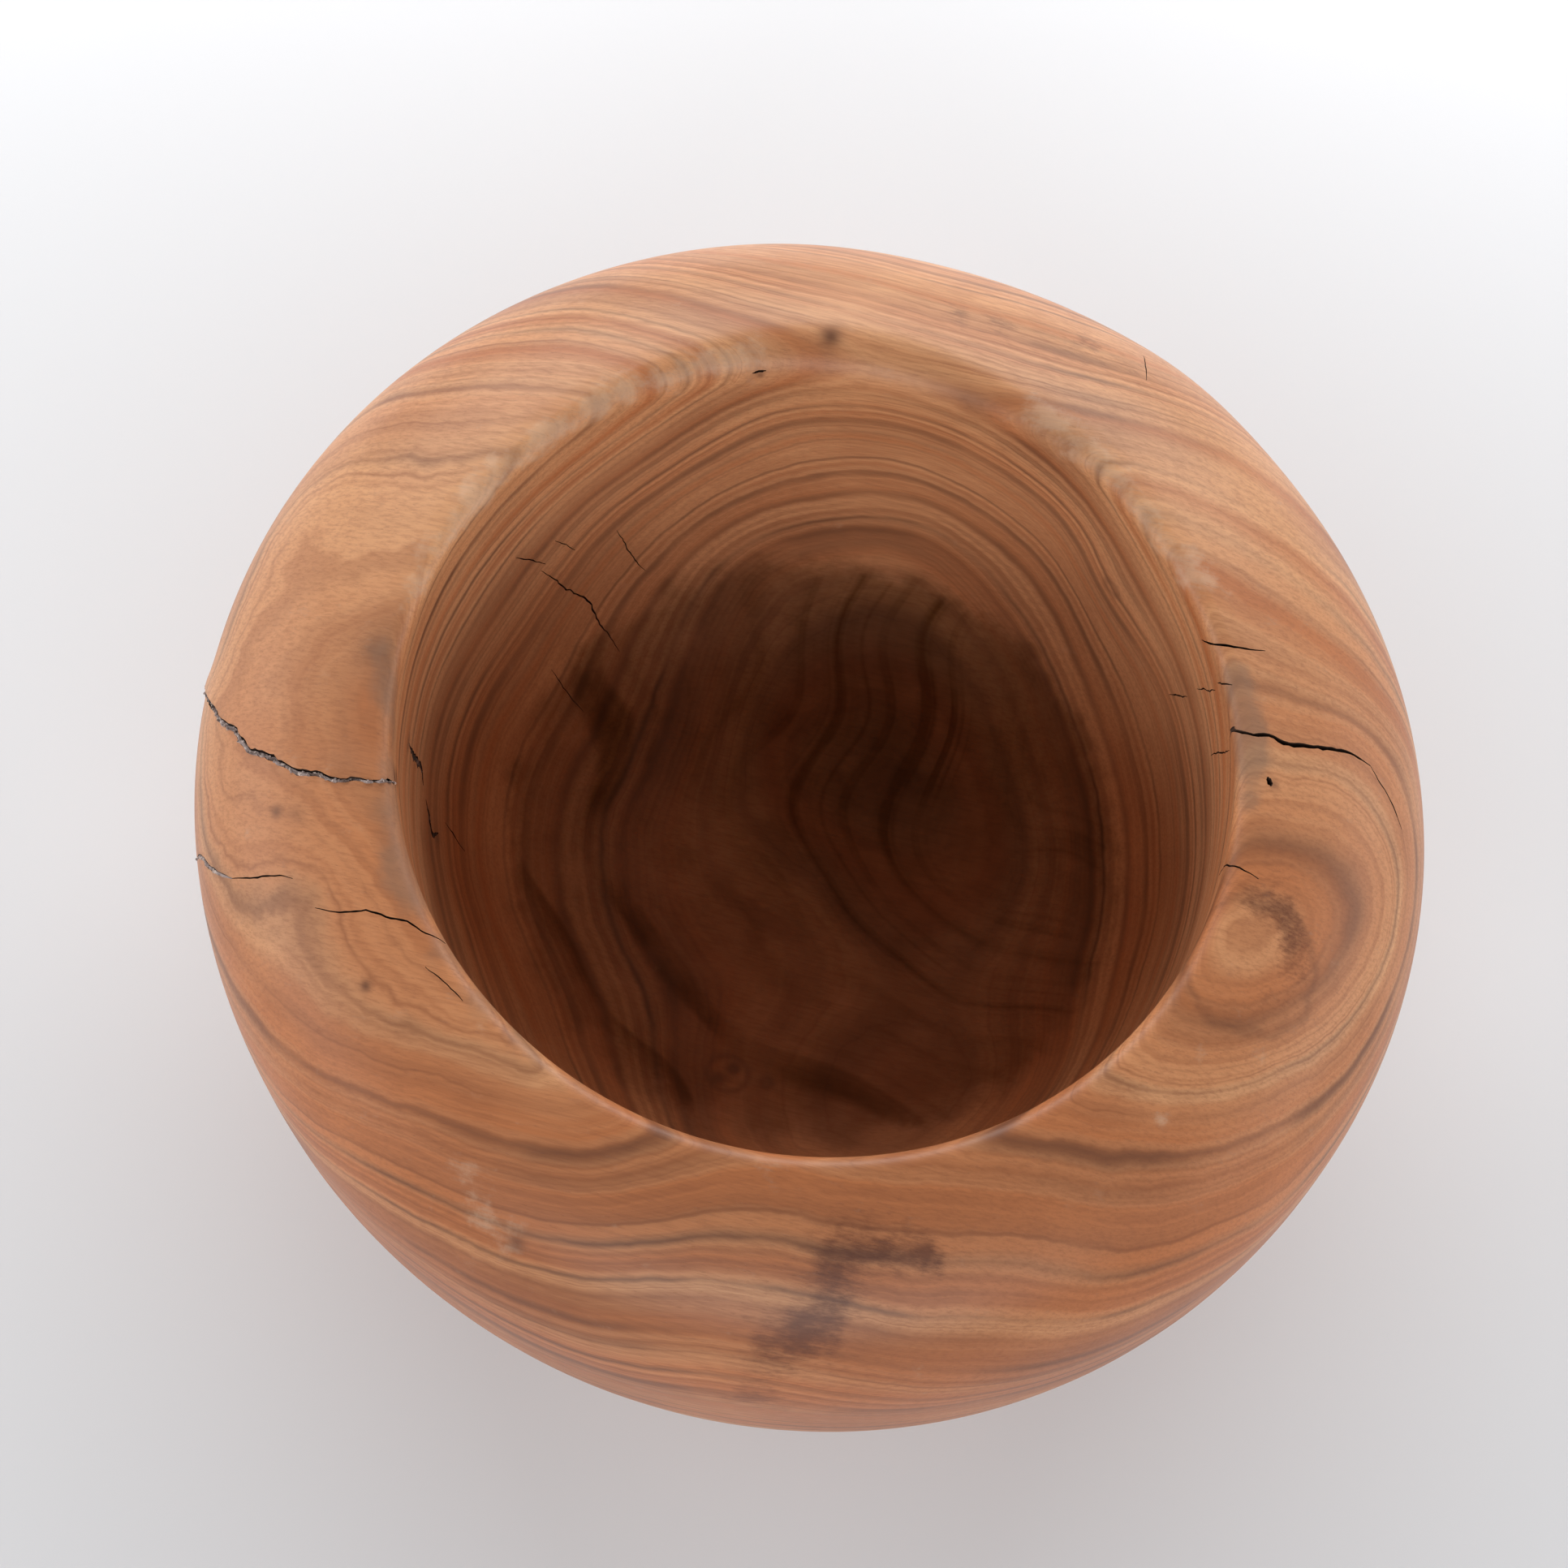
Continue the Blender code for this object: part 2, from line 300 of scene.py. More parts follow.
# %% The two section lines as meshes
def section_line(name, points):
    mesh = bpy.data.meshes.new(name)
    edges = [(i, i + 1) for i in range(len(points) - 1)]
    mesh.from_pydata([(r * MM, 0.0, z * MM) for r, z in points], edges, [])
    item = bpy.data.objects.new(name, mesh)
    bpy.context.scene.collection.objects.link(item)
    return item


crisp_line = section_line("crisp_section", crisp_section)
worn_line = section_line("worn_section", worn_section)
section_length = sum(math.dist(a, b) for a, b in zip(crisp_section, crisp_section[1:]))
print("section length, mm:", round(section_length))

# %% The outline rule, in Python for the cracks and in nodes for the bowl
AROUND = 420
OUTLINE_CHECKS = 720


def angle_difference(a, b):
    return (a - b + 180.0) % 360.0 - 180.0


def outline(angle):
    """Radius of the outline at an angle, as a part of the round radius."""
    size = 1.0 + OVAL_AMOUNT * math.cos(2.0 * math.radians(angle - OVAL_ANGLE))
    for centre, width, amount in OUTLINE_BUMPS:
        size += amount * math.exp(-(angle_difference(angle, centre) / width) ** 2)
    return size


def outline_centre():
    """Middle of the outline's box, which the frame puts at x = y = 0."""
    angles = [360.0 * k / OUTLINE_CHECKS for k in range(OUTLINE_CHECKS)]
    spots = [Matrix.Rotation(math.radians(a), 2) @ Vector((outline(a), 0.0)) for a in angles]
    xs = [spot.x * WIDEST_RADIUS for spot in spots]
    ys = [spot.y * WIDEST_RADIUS for spot in spots]
    return (min(xs) + max(xs)) / 2.0, (min(ys) + max(ys)) / 2.0


def wrapped_difference(tree, angle, centre):
    moved = calc(tree, "ADD", calc(tree, "SUBTRACT", angle, centre), 540.0)
    return calc(tree, "SUBTRACT", calc(tree, "MODULO", moved, 360.0), 180.0)


def outline_nodes(tree, angle, oval_amount, oval_angle):
    double = calc(tree, "MULTIPLY", calc(tree, "SUBTRACT", angle, oval_angle), 2.0)
    wave = calc(tree, "COSINE", calc(tree, "RADIANS", double))
    size = calc(tree, "MULTIPLY_ADD", wave, oval_amount, 1.0)
    for centre, width, amount in OUTLINE_BUMPS:
        bump = bell(tree, wrapped_difference(tree, angle, centre), width)
        size = calc(tree, "MULTIPLY_ADD", bump, amount, size)
    return size


CENTRE_X, CENTRE_Y = outline_centre()
print("outline centre, mm:", round(CENTRE_X, 2), round(CENTRE_Y, 2))

# %% The turning tree
SANDING_WAVE = 0.06
SANDING_SCALE = 38.0
SEAM_GAP = 0.02


def read_section(tree, line, row):
    info = wire(tree, "GeometryNodeObjectInfo", {"Object": line}, out="Geometry")
    position = wire(tree, "GeometryNodeInputPosition")
    sampled = {"Geometry": info, "Value": position, "Index": row}
    return wire(tree, "GeometryNodeSampleIndex", sampled, data_type="FLOAT_VECTOR", domain="POINT")


def turned_place(tree, i, column, row):
    """The grid point's new place: the blended section, turned to the column's angle."""
    angle = calc(tree, "MULTIPLY", column, 360.0)
    wear = bell(tree, wrapped_difference(tree, angle, i["Wear Angle"]), i["Wear Width"])
    crisp = read_section(tree, i["Crisp Section"], row)
    worn = read_section(tree, i["Worn Section"], row)
    blend = {"Factor": wear, 4: crisp, 5: worn}
    spot = wire(tree, "ShaderNodeMix", blend, out=1, data_type="VECTOR")
    radius, _, height = xyz(tree, spot)
    reach = calc(tree, "MULTIPLY", radius, outline_nodes(tree, angle, i["Oval"], i["Oval Angle"]))
    turn = calc(tree, "RADIANS", angle)
    x = calc(tree, "SUBTRACT", calc(tree, "MULTIPLY", reach, calc(tree, "COSINE", turn)), CENTRE_X * MM)
    y = calc(tree, "SUBTRACT", calc(tree, "MULTIPLY", reach, calc(tree, "SINE", turn)), CENTRE_Y * MM)
    return wire(tree, "ShaderNodeCombineXYZ", (x, y, height))


def turning_tree():
    tree = bpy.data.node_groups.new("turn_the_bowl", "GeometryNodeTree")
    tree.interface.new_socket(name="Geometry", in_out="OUTPUT", socket_type="NodeSocketGeometry")
    i = add_inputs(tree, (
        ("Crisp Section", "NodeSocketObject", None),
        ("Worn Section", "NodeSocketObject", None),
        ("Around", "NodeSocketInt", AROUND),
        ("Along", "NodeSocketInt", len(crisp_section)),
        ("Wear Angle", "NodeSocketFloat", WEAR_ANGLE),
        ("Wear Width", "NodeSocketFloat", WEAR_WIDTH),
        ("Oval", "NodeSocketFloat", OVAL_AMOUNT),
        ("Oval Angle", "NodeSocketFloat", OVAL_ANGLE),
        ("Sanding Wave", "NodeSocketFloat", SANDING_WAVE * MM),
        ("Wood", "NodeSocketMaterial", None),
    ))
    columns = calc(tree, "ADD", i["Around"], 1.0)
    grid = {"Size X": 1.0, "Size Y": 1.0, "Vertices X": columns, "Vertices Y": i["Along"]}
    flat = wire(tree, "GeometryNodeMeshGrid", grid)
    across, up, _ = xyz(tree, wire(tree, "GeometryNodeInputPosition"))
    column = calc(tree, "ADD", across, 0.5)
    last_row = calc(tree, "SUBTRACT", i["Along"], 1.0)
    row = calc(tree, "ROUND", calc(tree, "MULTIPLY", calc(tree, "ADD", up, 0.5), last_row))
    place = turned_place(tree, i, column, row)
    turned = wire(tree, "GeometryNodeSetPosition", {"Geometry": flat, "Position": place})
    closed = wire(tree, "GeometryNodeMergeByDistance", {"Geometry": turned, "Distance": SEAM_GAP * MM})
    ripple = wire(tree, "ShaderNodeTexNoise", {"Scale": SANDING_SCALE, "Detail": 2.0})
    height = calc(tree, "MULTIPLY", i["Sanding Wave"], 2.0)
    push = calc(tree, "MULTIPLY", calc(tree, "SUBTRACT", ripple, 0.5), height)
    normal = wire(tree, "GeometryNodeInputNormal")
    offset = wire(tree, "ShaderNodeVectorMath", {0: normal, "Scale": push}, operation="SCALE")
    sanded = wire(tree, "GeometryNodeSetPosition", {"Geometry": closed, "Offset": offset})
    x, y, z = xyz(tree, wire(tree, "GeometryNodeInputPosition"))
    level = wire(tree, "ShaderNodeCombineXYZ", (x, y, calc(tree, "MAXIMUM", z, 0.0)))
    rubbed = wire(tree, "GeometryNodeSetPosition", {"Geometry": sanded, "Position": level})
    smooth = wire(tree, "GeometryNodeSetShadeSmooth", {"Geometry": rubbed})
    real = wire(tree, "GeometryNodeRealizeInstances", {"Geometry": smooth})
    painted = wire(tree, "GeometryNodeSetMaterial", {"Geometry": real, "Material": i["Wood"]})
    tree.links.new(painted, tree.nodes.new("NodeGroupOutput").inputs[0])
    return tree


turning = turning_tree()
print("nodes in the turning tree:", len(turning.nodes))

# %% Run the tree and keep its mesh
DOUBLES_GAP = 0.01


def plain_mesh(name, tree, settings, start=None):
    """Runs a tree on an empty object and returns a plain mesh object made from the result."""
    seed = bpy.data.objects.new(name, start or bpy.data.meshes.new(name))
    bpy.context.scene.collection.objects.link(seed)
    change = seed.modifiers.new("shape", "NODES")
    change.node_group = tree
    for socket in tree.interface.items_tree:
        if socket.in_out == "INPUT" and socket.name in settings:
            change[socket.identifier] = settings[socket.name]
    seed.update_tag()
    bpy.context.view_layer.update()
    depsgraph = bpy.context.evaluated_depsgraph_get()
    result = bpy.data.meshes.new_from_object(seed.evaluated_get(depsgraph))
    seed.modifiers.clear()
    while result.materials and result.materials[0] is None:
        result.materials.pop(index=0)
    seed.data = result
    return seed


def face_outwards(mesh):
    made = bmesh.new()
    made.from_mesh(mesh)
    bmesh.ops.remove_doubles(made, verts=made.verts, dist=DOUBLES_GAP * MM)
    bmesh.ops.recalc_face_normals(made, faces=made.faces)
    made.to_mesh(mesh)
    made.free()


def new_material(name):
    material = bpy.data.materials.new(name)
    material.use_nodes = True
    return material


wood = new_material("figured_wood")
# The crack walls' material is nearly black: painted shade of the narrow gap.
crack_wall_shade = new_material("crack_walls_painted_shade")
inputs = {"Crisp Section": crisp_line, "Worn Section": worn_line, "Wood": wood}
bowl = plain_mesh("turned_bowl", turning, inputs)
face_outwards(bowl.data)
for line in (crisp_line, worn_line):
    bpy.data.objects.remove(line, do_unlink=True)
print("bowl faces:", len(bowl.data.polygons), "size, mm:", [round(v / MM, 1) for v in bowl.dimensions])

# %% [markdown]
# ## Cracks
#
# Drying cracks open from the surface and close deeper in, so each one is a thin blade pushed into
# the wood: wide at the skin, nothing at its tip. A crack's route is a few places on the bowl, each
# an angle and a station. The station is the distance along the section from the top of the lip,
# positive down the outside and negative down the inside. Small seeded jogs make the route ragged,
# because wood tears between its fibres.
#
# Each blade is taken out of the bowl by its own Boolean, and the faces that it leaves get a nearly
# black material, painted shade of the narrow gap, with browner fibres. A Boolean can go wrong on a
# blade that grazes the mesh just so, and then hardly a face is left. So each result is counted, and
# a blade that spoils the bowl is made anew with other jogs. Pin holes and chips are very short
# cracks. Before any cutting, one side of the long rim crack is lifted a little, as a split board
# lifts when it dries unevenly.

# %% Places on the bowl
def section_spot(points, middle, station):
    """Radius and height at a distance from the lip's middle along a section."""
    step = -1 if station > 0.0 else 1
    left = abs(station)
    i = middle
    while True:
        length = math.dist(points[i], points[i + step])
        if left <= length:
            t = left / length
            return [a + (b - a) * t for a, b in zip(points[i], points[i + step])]
        left -= length
        i += step


def on_bowl(angle, station):
    wear = math.exp(-(angle_difference(angle, WEAR_ANGLE) / WEAR_WIDTH) ** 2)
    crisp = section_spot(crisp_section, lip_index, station)
    worn = section_spot(worn_section, lip_index, station)
    r, z = [a + (b - a) * wear for a, b in zip(crisp, worn)]
    reach = r * outline(angle)
    turn = math.radians(angle)
    return Vector((reach * math.cos(turn) - CENTRE_X, reach * math.sin(turn) - CENTRE_Y, z)) * MM


skin = BVHTree.FromObject(bowl, bpy.context.evaluated_depsgraph_get())
print("lip top at the front, mm:", [round(v / MM, 1) for v in on_bowl(-90.0, 0.0)])

# %% Crack routes
ROUTE_SPACING = 0.7
CURVE_STEPS = 24
FEWEST_STEPS = 4
ROUNDING = 1e-9


def smooth_route(waypoints, spacing):
    """Evenly spaced points on the skin along a smooth line through the waypoints, with normals."""
    knots = [waypoints[0], *waypoints, waypoints[-1]]
    dense = []
    for a, b, c, d in zip(knots, knots[1:], knots[2:], knots[3:]):
        for k in range(CURVE_STEPS):
            t = k / CURVE_STEPS
            spot = [
                0.5 * (2 * q + (r - p) * t + (2 * p - 5 * q + 4 * r - s) * t * t
                       + (3 * q - 3 * r + s - p) * t ** 3)
                for p, q, r, s in zip(a, b, c, d)
            ]
            dense.append(on_bowl(*spot))
    dense.append(on_bowl(*waypoints[-1]))
    total = sum((q - p).length for p, q in zip(dense, dense[1:]))
    count = max(FEWEST_STEPS, round(total / (spacing * MM)))
    route = []
    travelled = 0.0
    for p, q in zip(dense, dense[1:]):
        length = (q - p).length
        reached = travelled + length + ROUNDING
        while len(route) <= count and length > 0.0 and total * len(route) / count <= reached:
            t = (total * len(route) / count - travelled) / length
            spot, normal, _, _ = skin.find_nearest(p.lerp(q, t))
            route.append((spot, normal))
        travelled += length
    return route


def mean_normal(route):
    total = Vector()
    for _, normal in route:
        total += normal
    return total.normalized()


# Each crack: waypoints of angle and station, width and depth in mm, and how ragged it is.
OPEN_CRACKS = {
    "main_crack": (
        ((7.6, -2.2), (5.9, 1.3), (5.8, 3.6), (5.0, 6.1), (5.0, 9.6), (5.0, 12.6), (4.9, 15.1), (4.0, 18.6)),
        0.6, 5.0, 0.1,
    ),
    "main_crack_end": (((4.0, 18.6), (2.5, 20.1), (1.1, 21.8), (-1.5, 24.5)), 0.2, 1.2, 0.08),
    "upper_right_crack": (((22.0, -4.2), (19.6, -0.4), (18.0, 2.8), (17.2, 5.8)), 0.28, 3.0, 0.08),
    "right_wall_crack": (((24.0, -28.7), (20.5, -21.7)), 0.22, 1.5, 0.15),
    "right_wall_crack_up": (((19.2, -15.7), (15.0, -6.2)), 0.2, 1.5, 0.15),
    "right_lip_crack": (((15.2, -3.9), (13.2, 0.1)), 0.2, 1.5, 0.1),
    "right_lower_wall_crack": (((9.8, -17.9), (5.5, -4.7)), 0.2, 1.5, 0.15),
    "right_front_crack": (((-11.5, -7.9), (-12.6, 0.5), (-13.2, 3.6)), 0.24, 2.0, 0.15),
    "left_front_crack": (
        ((202.3, 12.8), (204.1, 9.6), (205.4, 6.3), (207.4, 4.1), (208.6, 2.6), (211.1, 1.1), (213.5, -1.0)),
        0.28, 3.5, 0.12,
    ),
    "left_short_crack": (((195.3, 24.3), (196.2, 20.8), (197.1, 16.8), (198.2, 14.6)), 0.24, 2.5, 0.1),
    "left_hairline": (((215.2, 3.2), (218.4, 2.2), (221.8, 1.9)), 0.14, 1.0, 0.12),
    "back_hairline": (((57.0, 23.1), (55.8, 20.4), (54.5, 17.5)), 0.14, 0.8, 0.1),
    "inner_left_crack": (((142.2, -25.1), (139.6, -29.5), (137.5, -33.6)), 0.2, 1.5, 0.12),
    "inner_left_long": (
        ((138.5, -34.4), (135.2, -42.8), (133.0, -48.8), (132.0, -54.8), (131.5, -60.0)), 0.26, 2.0, 0.25,
    ),
    "inner_left_second": (((124.8, -36.6), (123.8, -42.6), (121.8, -48.5)), 0.16, 1.2, 0.2),
    "inner_left_branch": (((135.0, -29.6), (132.2, -35.5)), 0.13, 1.0, 0.12),
    "inner_left_low": (((144.2, -54.4), (144.2, -63.9)), 0.13, 1.0, 0.12),
    "inner_hairline": (((179.1, -45.2), (179.8, -48.2), (181.3, -52.2)), 0.2, 1.0, 0.08),
    "pin_hole": (((0.3, 3.2), (-0.9, 3.6)), 0.9, 1.4, 0.0),
    "lip_pin_hole": (((-39.1, -1.9), (-39.9, -1.5)), 0.5, 1.0, 0.0),
    "far_chip": (((102.6, -1.9), (100.6, -1.7)), 0.4, 0.8, 0.1),
}
FILLED_CRACKS = {
    "rim_crack": (
        ((172.6, 37.5), (176.6, 29.1), (178.6, 25.6), (180.5, 22.1), (183.1, 18.8), (185.2, 14.1),
         (186.5, 11.3), (187.7, 8.1), (188.8, 3.8), (189.5, 0.8), (188.6, -3.0)),
        0.78, 3.0, 0.24,
    ),
    "flank_crack": (((190.2, 37.0), (191.0, 32.1), (193.3, 28.3), (195.3, 24.3)), 0.7, 3.0, 0.14),
    "upper_wall_crack": (((176.6, -19.4), (176.4, -24.4), (176.2, -30.7), (177.7, -33.4)), 1.05, 2.6, 0.3),
    "lower_wall_crack": (
        ((179.1, -35.7), (180.4, -37.4), (181.8, -38.5), (182.7, -40.4), (181.8, -42.7)), 0.85, 2.6, 0.25,
    ),
}
jog = random.Random(11)
print("open cracks:", len(OPEN_CRACKS), "stopped cracks:", len(FILLED_CRACKS))

# %% Blades
BLADE_RISE = 1.2
BLADE_TIP = 0.03
DRIFT_KEPT = 0.6
CALM_END = 4.0
NARROW_END = 0.02
OPENING_POWER = 0.45
OPENING_SWING = (0.75, 1.1)
SHALLOWEST = 0.3
TRIES = 6
WHOLE_SHARE = 0.98


def ragged(route, amount):
    """The route with seeded sideways jogs that die out at its two ends."""
    out = mean_normal(route)
    drift = 0.0
    result = []
    for k, (spot, normal) in enumerate(route):
        ahead = route[min(k + 1, len(route) - 1)][0]
        behind = route[max(k - 1, 0)][0]
        side = (ahead - behind).cross(out).normalized()
        drift = drift * DRIFT_KEPT + jog.uniform(-1.0, 1.0) * amount
        ends = min(1.0, CALM_END * k / len(route), CALM_END * (len(route) - 1 - k) / len(route))
        result.append((spot + side * drift * ends * MM, side, normal))
    return result, out


def blade(vertices, faces, waypoints, width, depth, amount):
    """Adds a thin wedge along a crack to the lists: wide above the skin, a thin edge deep down."""
    route, out = ragged(smooth_route(waypoints, ROUTE_SPACING), amount)
    first = len(vertices)
    rings = []
    for k, (spot, side, normal) in enumerate(route):
        t = min(max(k / (len(route) - 1), NARROW_END), 1.0 - NARROW_END)
        open_part = math.sin(math.pi * t) ** OPENING_POWER * jog.uniform(*OPENING_SWING)
        half = width / 2.0 * open_part
        low = depth * max(open_part, SHALLOWEST)
        high = half * (1.0 + BLADE_RISE / depth)
        for across, up in ((-BLADE_TIP, -low), (BLADE_TIP, -low), (high, BLADE_RISE), (-high, BLADE_RISE)):
            vertices.append(spot + (side * across + out * up) * MM)
        rings.append((spot, side, normal, half))
    faces.append(tuple(first + c for c in (3, 2, 1, 0)))
    for k in range(len(route) - 1):
        for c in range(4):
            d = (c + 1) % 4
            here = first + 4 * k
            faces.append((here + c, here + d, here + 4 + d, here + 4 + c))
    last = first + 4 * (len(route) - 1)
    faces.append(tuple(last + c for c in (0, 1, 2, 3)))
    return rings


def mesh_object(name, vertices, faces, material):
    mesh = bpy.data.meshes.new(name)
    mesh.from_pydata(vertices, [], faces)
    mesh.materials.append(material)
    item = bpy.data.objects.new(name, mesh)
    bpy.context.scene.collection.objects.link(item)
    face_outwards(mesh)
    return item


def cut_one(body, name, recipe):
    """Takes one blade out of the bowl. A blade that spoils the bowl is thrown away and made anew."""
    whole = len(body.data.polygons)
    for attempt in range(TRIES):
        vertices = []
        faces = []
        rings = blade(vertices, faces, *recipe)
        cutter = mesh_object(name, vertices, faces, crack_wall_shade)
        change = body.modifiers.new(name, "BOOLEAN")
        change.operation = "DIFFERENCE"
        change.solver = "EXACT"
        change.material_mode = "TRANSFER"
        change.object = cutter
        depsgraph = bpy.context.evaluated_depsgraph_get()
        result = bpy.data.meshes.new_from_object(body.evaluated_get(depsgraph))
        body.modifiers.clear()
        bpy.data.objects.remove(cutter, do_unlink=True)
        if len(result.polygons) > whole * WHOLE_SHARE:
            body.data = result
            return rings
        print("blade made anew:", name)
    raise RuntimeError("no blade worked for " + name)


EDGE_HEIGHT = 0.4
EDGE_REACH = 3.0
EDGE_LIMIT = 2.5
EDGE_START = 5.0
EDGE_END = 12.0


def raise_edge(mesh, route, height, reach):
    """Lifts the skin on one side of a crack, as wood does when it dries unevenly."""
    finder = KDTree(len(route))
    for k, (spot, _, _) in enumerate(route):
        finder.insert(spot, k)
    finder.balance()
    lifted = 0
    for vertex in mesh.vertices:
        spot, k, away = finder.find(vertex.co)
        if away > EDGE_LIMIT * reach * MM:
            continue
        across = (vertex.co - spot).dot(route[k][1])
        ends = min(1.0, k / EDGE_START, (len(route) - 1 - k) / EDGE_END)
        if across < 0.0:
            vertex.co += route[k][2] * height * MM * ends * math.exp(-((away / (reach * MM)) ** 2))
            lifted += 1
    return lifted


edge_route, _ = ragged(smooth_route(FILLED_CRACKS["rim_crack"][0], ROUTE_SPACING), 0.0)
print("vertices lifted:", raise_edge(bowl.data, edge_route, EDGE_HEIGHT, EDGE_REACH))
crack_rings = {}
for name, recipe in {**OPEN_CRACKS, **FILLED_CRACKS}.items():
    crack_rings[name] = cut_one(bowl, name, recipe)
print("faces after the cracks:", len(bowl.data.polygons))

# %% [markdown]
# ## The wood's figure
#
# The lines on a turned bowl aren't drawn on it. They are the growth rings of the tree, cut by the
# bowl's surface. So the pattern here is a solid one. Every point of the wood knows how far it lies
# from the pith, the middle of the trunk, and the rings are dark or pale by that distance alone.
# Straight flanks then show long lines, and places that face the pith show closed ovals, without
# any of them being placed by hand.
#
# The trunk's pith ran above the mouth, almost along X, a little bowed. That alone gives long lines
# at the front and the back and closed ovals on the two sides. The trunk also grew in slow waves,
# which a broad noise adds, and its rings bend round each branch that left a knot, which a soft
# bump adds. Numbers are in millimetres, so the object's coordinates are first multiplied by a
# thousand.

# %% Helpers for shader groups
def vec(tree, operation, *values, out=0):
    return wire(tree, "ShaderNodeVectorMath", values, out=out, operation=operation)


def noise(tree, place, scale, detail=2.0, roughness=0.5):
    settings = {"Vector": place, "Scale": scale, "Detail": detail, "Roughness": roughness}
    return wire(tree, "ShaderNodeTexNoise", settings)


def line_noise(tree, value, scale, detail=2.0, roughness=0.5):
    settings = {"W": value, "Scale": scale, "Detail": detail, "Roughness": roughness}
    return wire(tree, "ShaderNodeTexNoise", settings, noise_dimensions="1D")


def swing(tree, value, amount):
    """Turns noise around 0.5 into a swing of plus or minus amount around zero."""
    return calc(tree, "MULTIPLY", calc(tree, "SUBTRACT", value, 0.5), 2.0 * amount)


def ramp(tree, value, low, high, to_low=0.0, to_high=1.0):
    """A soft step from to_low to to_high as the value goes from low to high."""
    settings = (value, low, high, to_low, to_high)
    return wire(tree, "ShaderNodeMapRange", settings, interpolation_type="SMOOTHSTEP")


def shader_group(name, inputs, outputs):
    """A group with the given inputs and one plain number for each output name."""
    tree = bpy.data.node_groups.new(name, "ShaderNodeTree")
    for label in outputs:
        tree.interface.new_socket(name=label, in_out="OUTPUT", socket_type="NodeSocketFloat")
    return tree, add_inputs(tree, inputs), tree.nodes.new("NodeGroupOutput")


def use_group(tree, group, values):
    node = tree.nodes.new("ShaderNodeGroup")
    node.node_tree = group
    for key, value in values.items():
        if isinstance(value, bpy.types.NodeSocket):
            tree.links.new(value, node.inputs[key])
        else:
            node.inputs[key].default_value = value
    return node.outputs


PLACE_INPUT = (("Place", "NodeSocketVector", None),)
print("shader helpers ready:", vec.__name__, noise.__name__, swing.__name__, ramp.__name__)

# %% Distance from the pith
PITH_SIDE = -15.0
PITH_HEIGHT = 180.0
PITH_YAW = -0.2
PITH_PITCH = 0.1
PITH_BOW_SIDE = 0.1
PITH_BOW_UP = -0.25
RING_SQUASH = 0.9
# A slow wave in the whole trunk: how wide it is (one over mm), how high, and where it starts
TRUNK_WAVE = 0.016
TRUNK_LIFT = 13.0
TRUNK_START = (120.0, 60.0, 20.0)
# The rings bend round each branch that left a knot: its place, reach and lift
BRANCHES = {
    "right_rim": ((60, -25, 80), 20, -3),
    "left_rim": ((-65, -10, 75), 25, 8),
    "floor": ((-10, -30, 20), 20, -6),
    "inner_wall": ((40, 35, 60), 10, -5),
}


def ring_distance_group():
    tree, i, out = shader_group("ring_distance", PLACE_INPUT, ("Distance",))
    x, y, z = xyz(tree, i["Place"])
    along = calc(tree, "DIVIDE", x, WIDEST_RADIUS)
    square = calc(tree, "MULTIPLY", along, along)
    side = calc(tree, "MULTIPLY_ADD", along, PITH_YAW * WIDEST_RADIUS, PITH_SIDE)
    side = calc(tree, "MULTIPLY_ADD", square, PITH_BOW_SIDE * WIDEST_RADIUS, side)
    height = calc(tree, "MULTIPLY_ADD", along, PITH_PITCH * WIDEST_RADIUS, PITH_HEIGHT)
    height = calc(tree, "MULTIPLY_ADD", square, PITH_BOW_UP * WIDEST_RADIUS, height)
    across = calc(tree, "SUBTRACT", y, side)
    drop = calc(tree, "MULTIPLY", calc(tree, "SUBTRACT", z, height), RING_SQUASH)
    arm = wire(tree, "ShaderNodeCombineXYZ", (0.0, across, drop))
    distance = vec(tree, "LENGTH", arm, out="Value")
    start = vec(tree, "ADD", i["Place"], TRUNK_START)
    wave = swing(tree, noise(tree, start, TRUNK_WAVE, 1.0), TRUNK_LIFT)
    distance = calc(tree, "ADD", distance, wave)
    for spot, reach, lift in BRANCHES.values():
        away = vec(tree, "DISTANCE", i["Place"], spot, out="Value")
        distance = calc(tree, "MULTIPLY_ADD", bell(tree, away, reach), lift, distance)
    tree.links.new(distance, out.inputs[0])
    return tree


ring_distance = ring_distance_group()
print("nodes in ring_distance:", len(ring_distance.nodes), "branches:", len(BRANCHES))

# %% [markdown]
# ## Rings, fibres and pores
#
# A ring is pale where it grew in spring and dark where it slowed in autumn. In this wood a few
# seasons left strong grey-brown lines, and between them run fine, uneven ones. A seeded loop
# draws the strong ones: each has a distance from the pith, a width and a strength, as good and bad
# years follow each other without a rule. The fine ones are noise that reads only that distance, so
# they run side by side with the strong lines. A slow noise in space fades them in and out.
#
# Fibres run along the trunk, so their noise is stretched that way. Pores are short dark dashes
# along the fibres.

# %% Growth rings
# Strong rings: the span that they fill from the pith, and the range of gap, half width, strength
RING_SPAN = (72.0, 158.0)
RING_GAP = (1.8, 5.4)
RING_HALF_WIDTH = (0.3, 1.1)
RING_STRENGTH = (0.25, 0.9)
seasons = random.Random(5)


def strong_rings():
    """Distance, half width and strength of each strong ring, from seeded good and bad years."""
    rings = []
    distance = RING_SPAN[0]
    while distance < RING_SPAN[1]:
        rings.append((distance, seasons.uniform(*RING_HALF_WIDTH), seasons.uniform(*RING_STRENGTH)))
        distance += seasons.uniform(*RING_GAP)
    return rings


STRONG_RINGS = strong_rings()
# Where the three other noises start, so that they don't repeat each other
FADE_START = (40.0, 7.0, 3.0)
BAND_START = 77.0
TONE_START = 31.0
RIDGE_SLOPE = 4.5
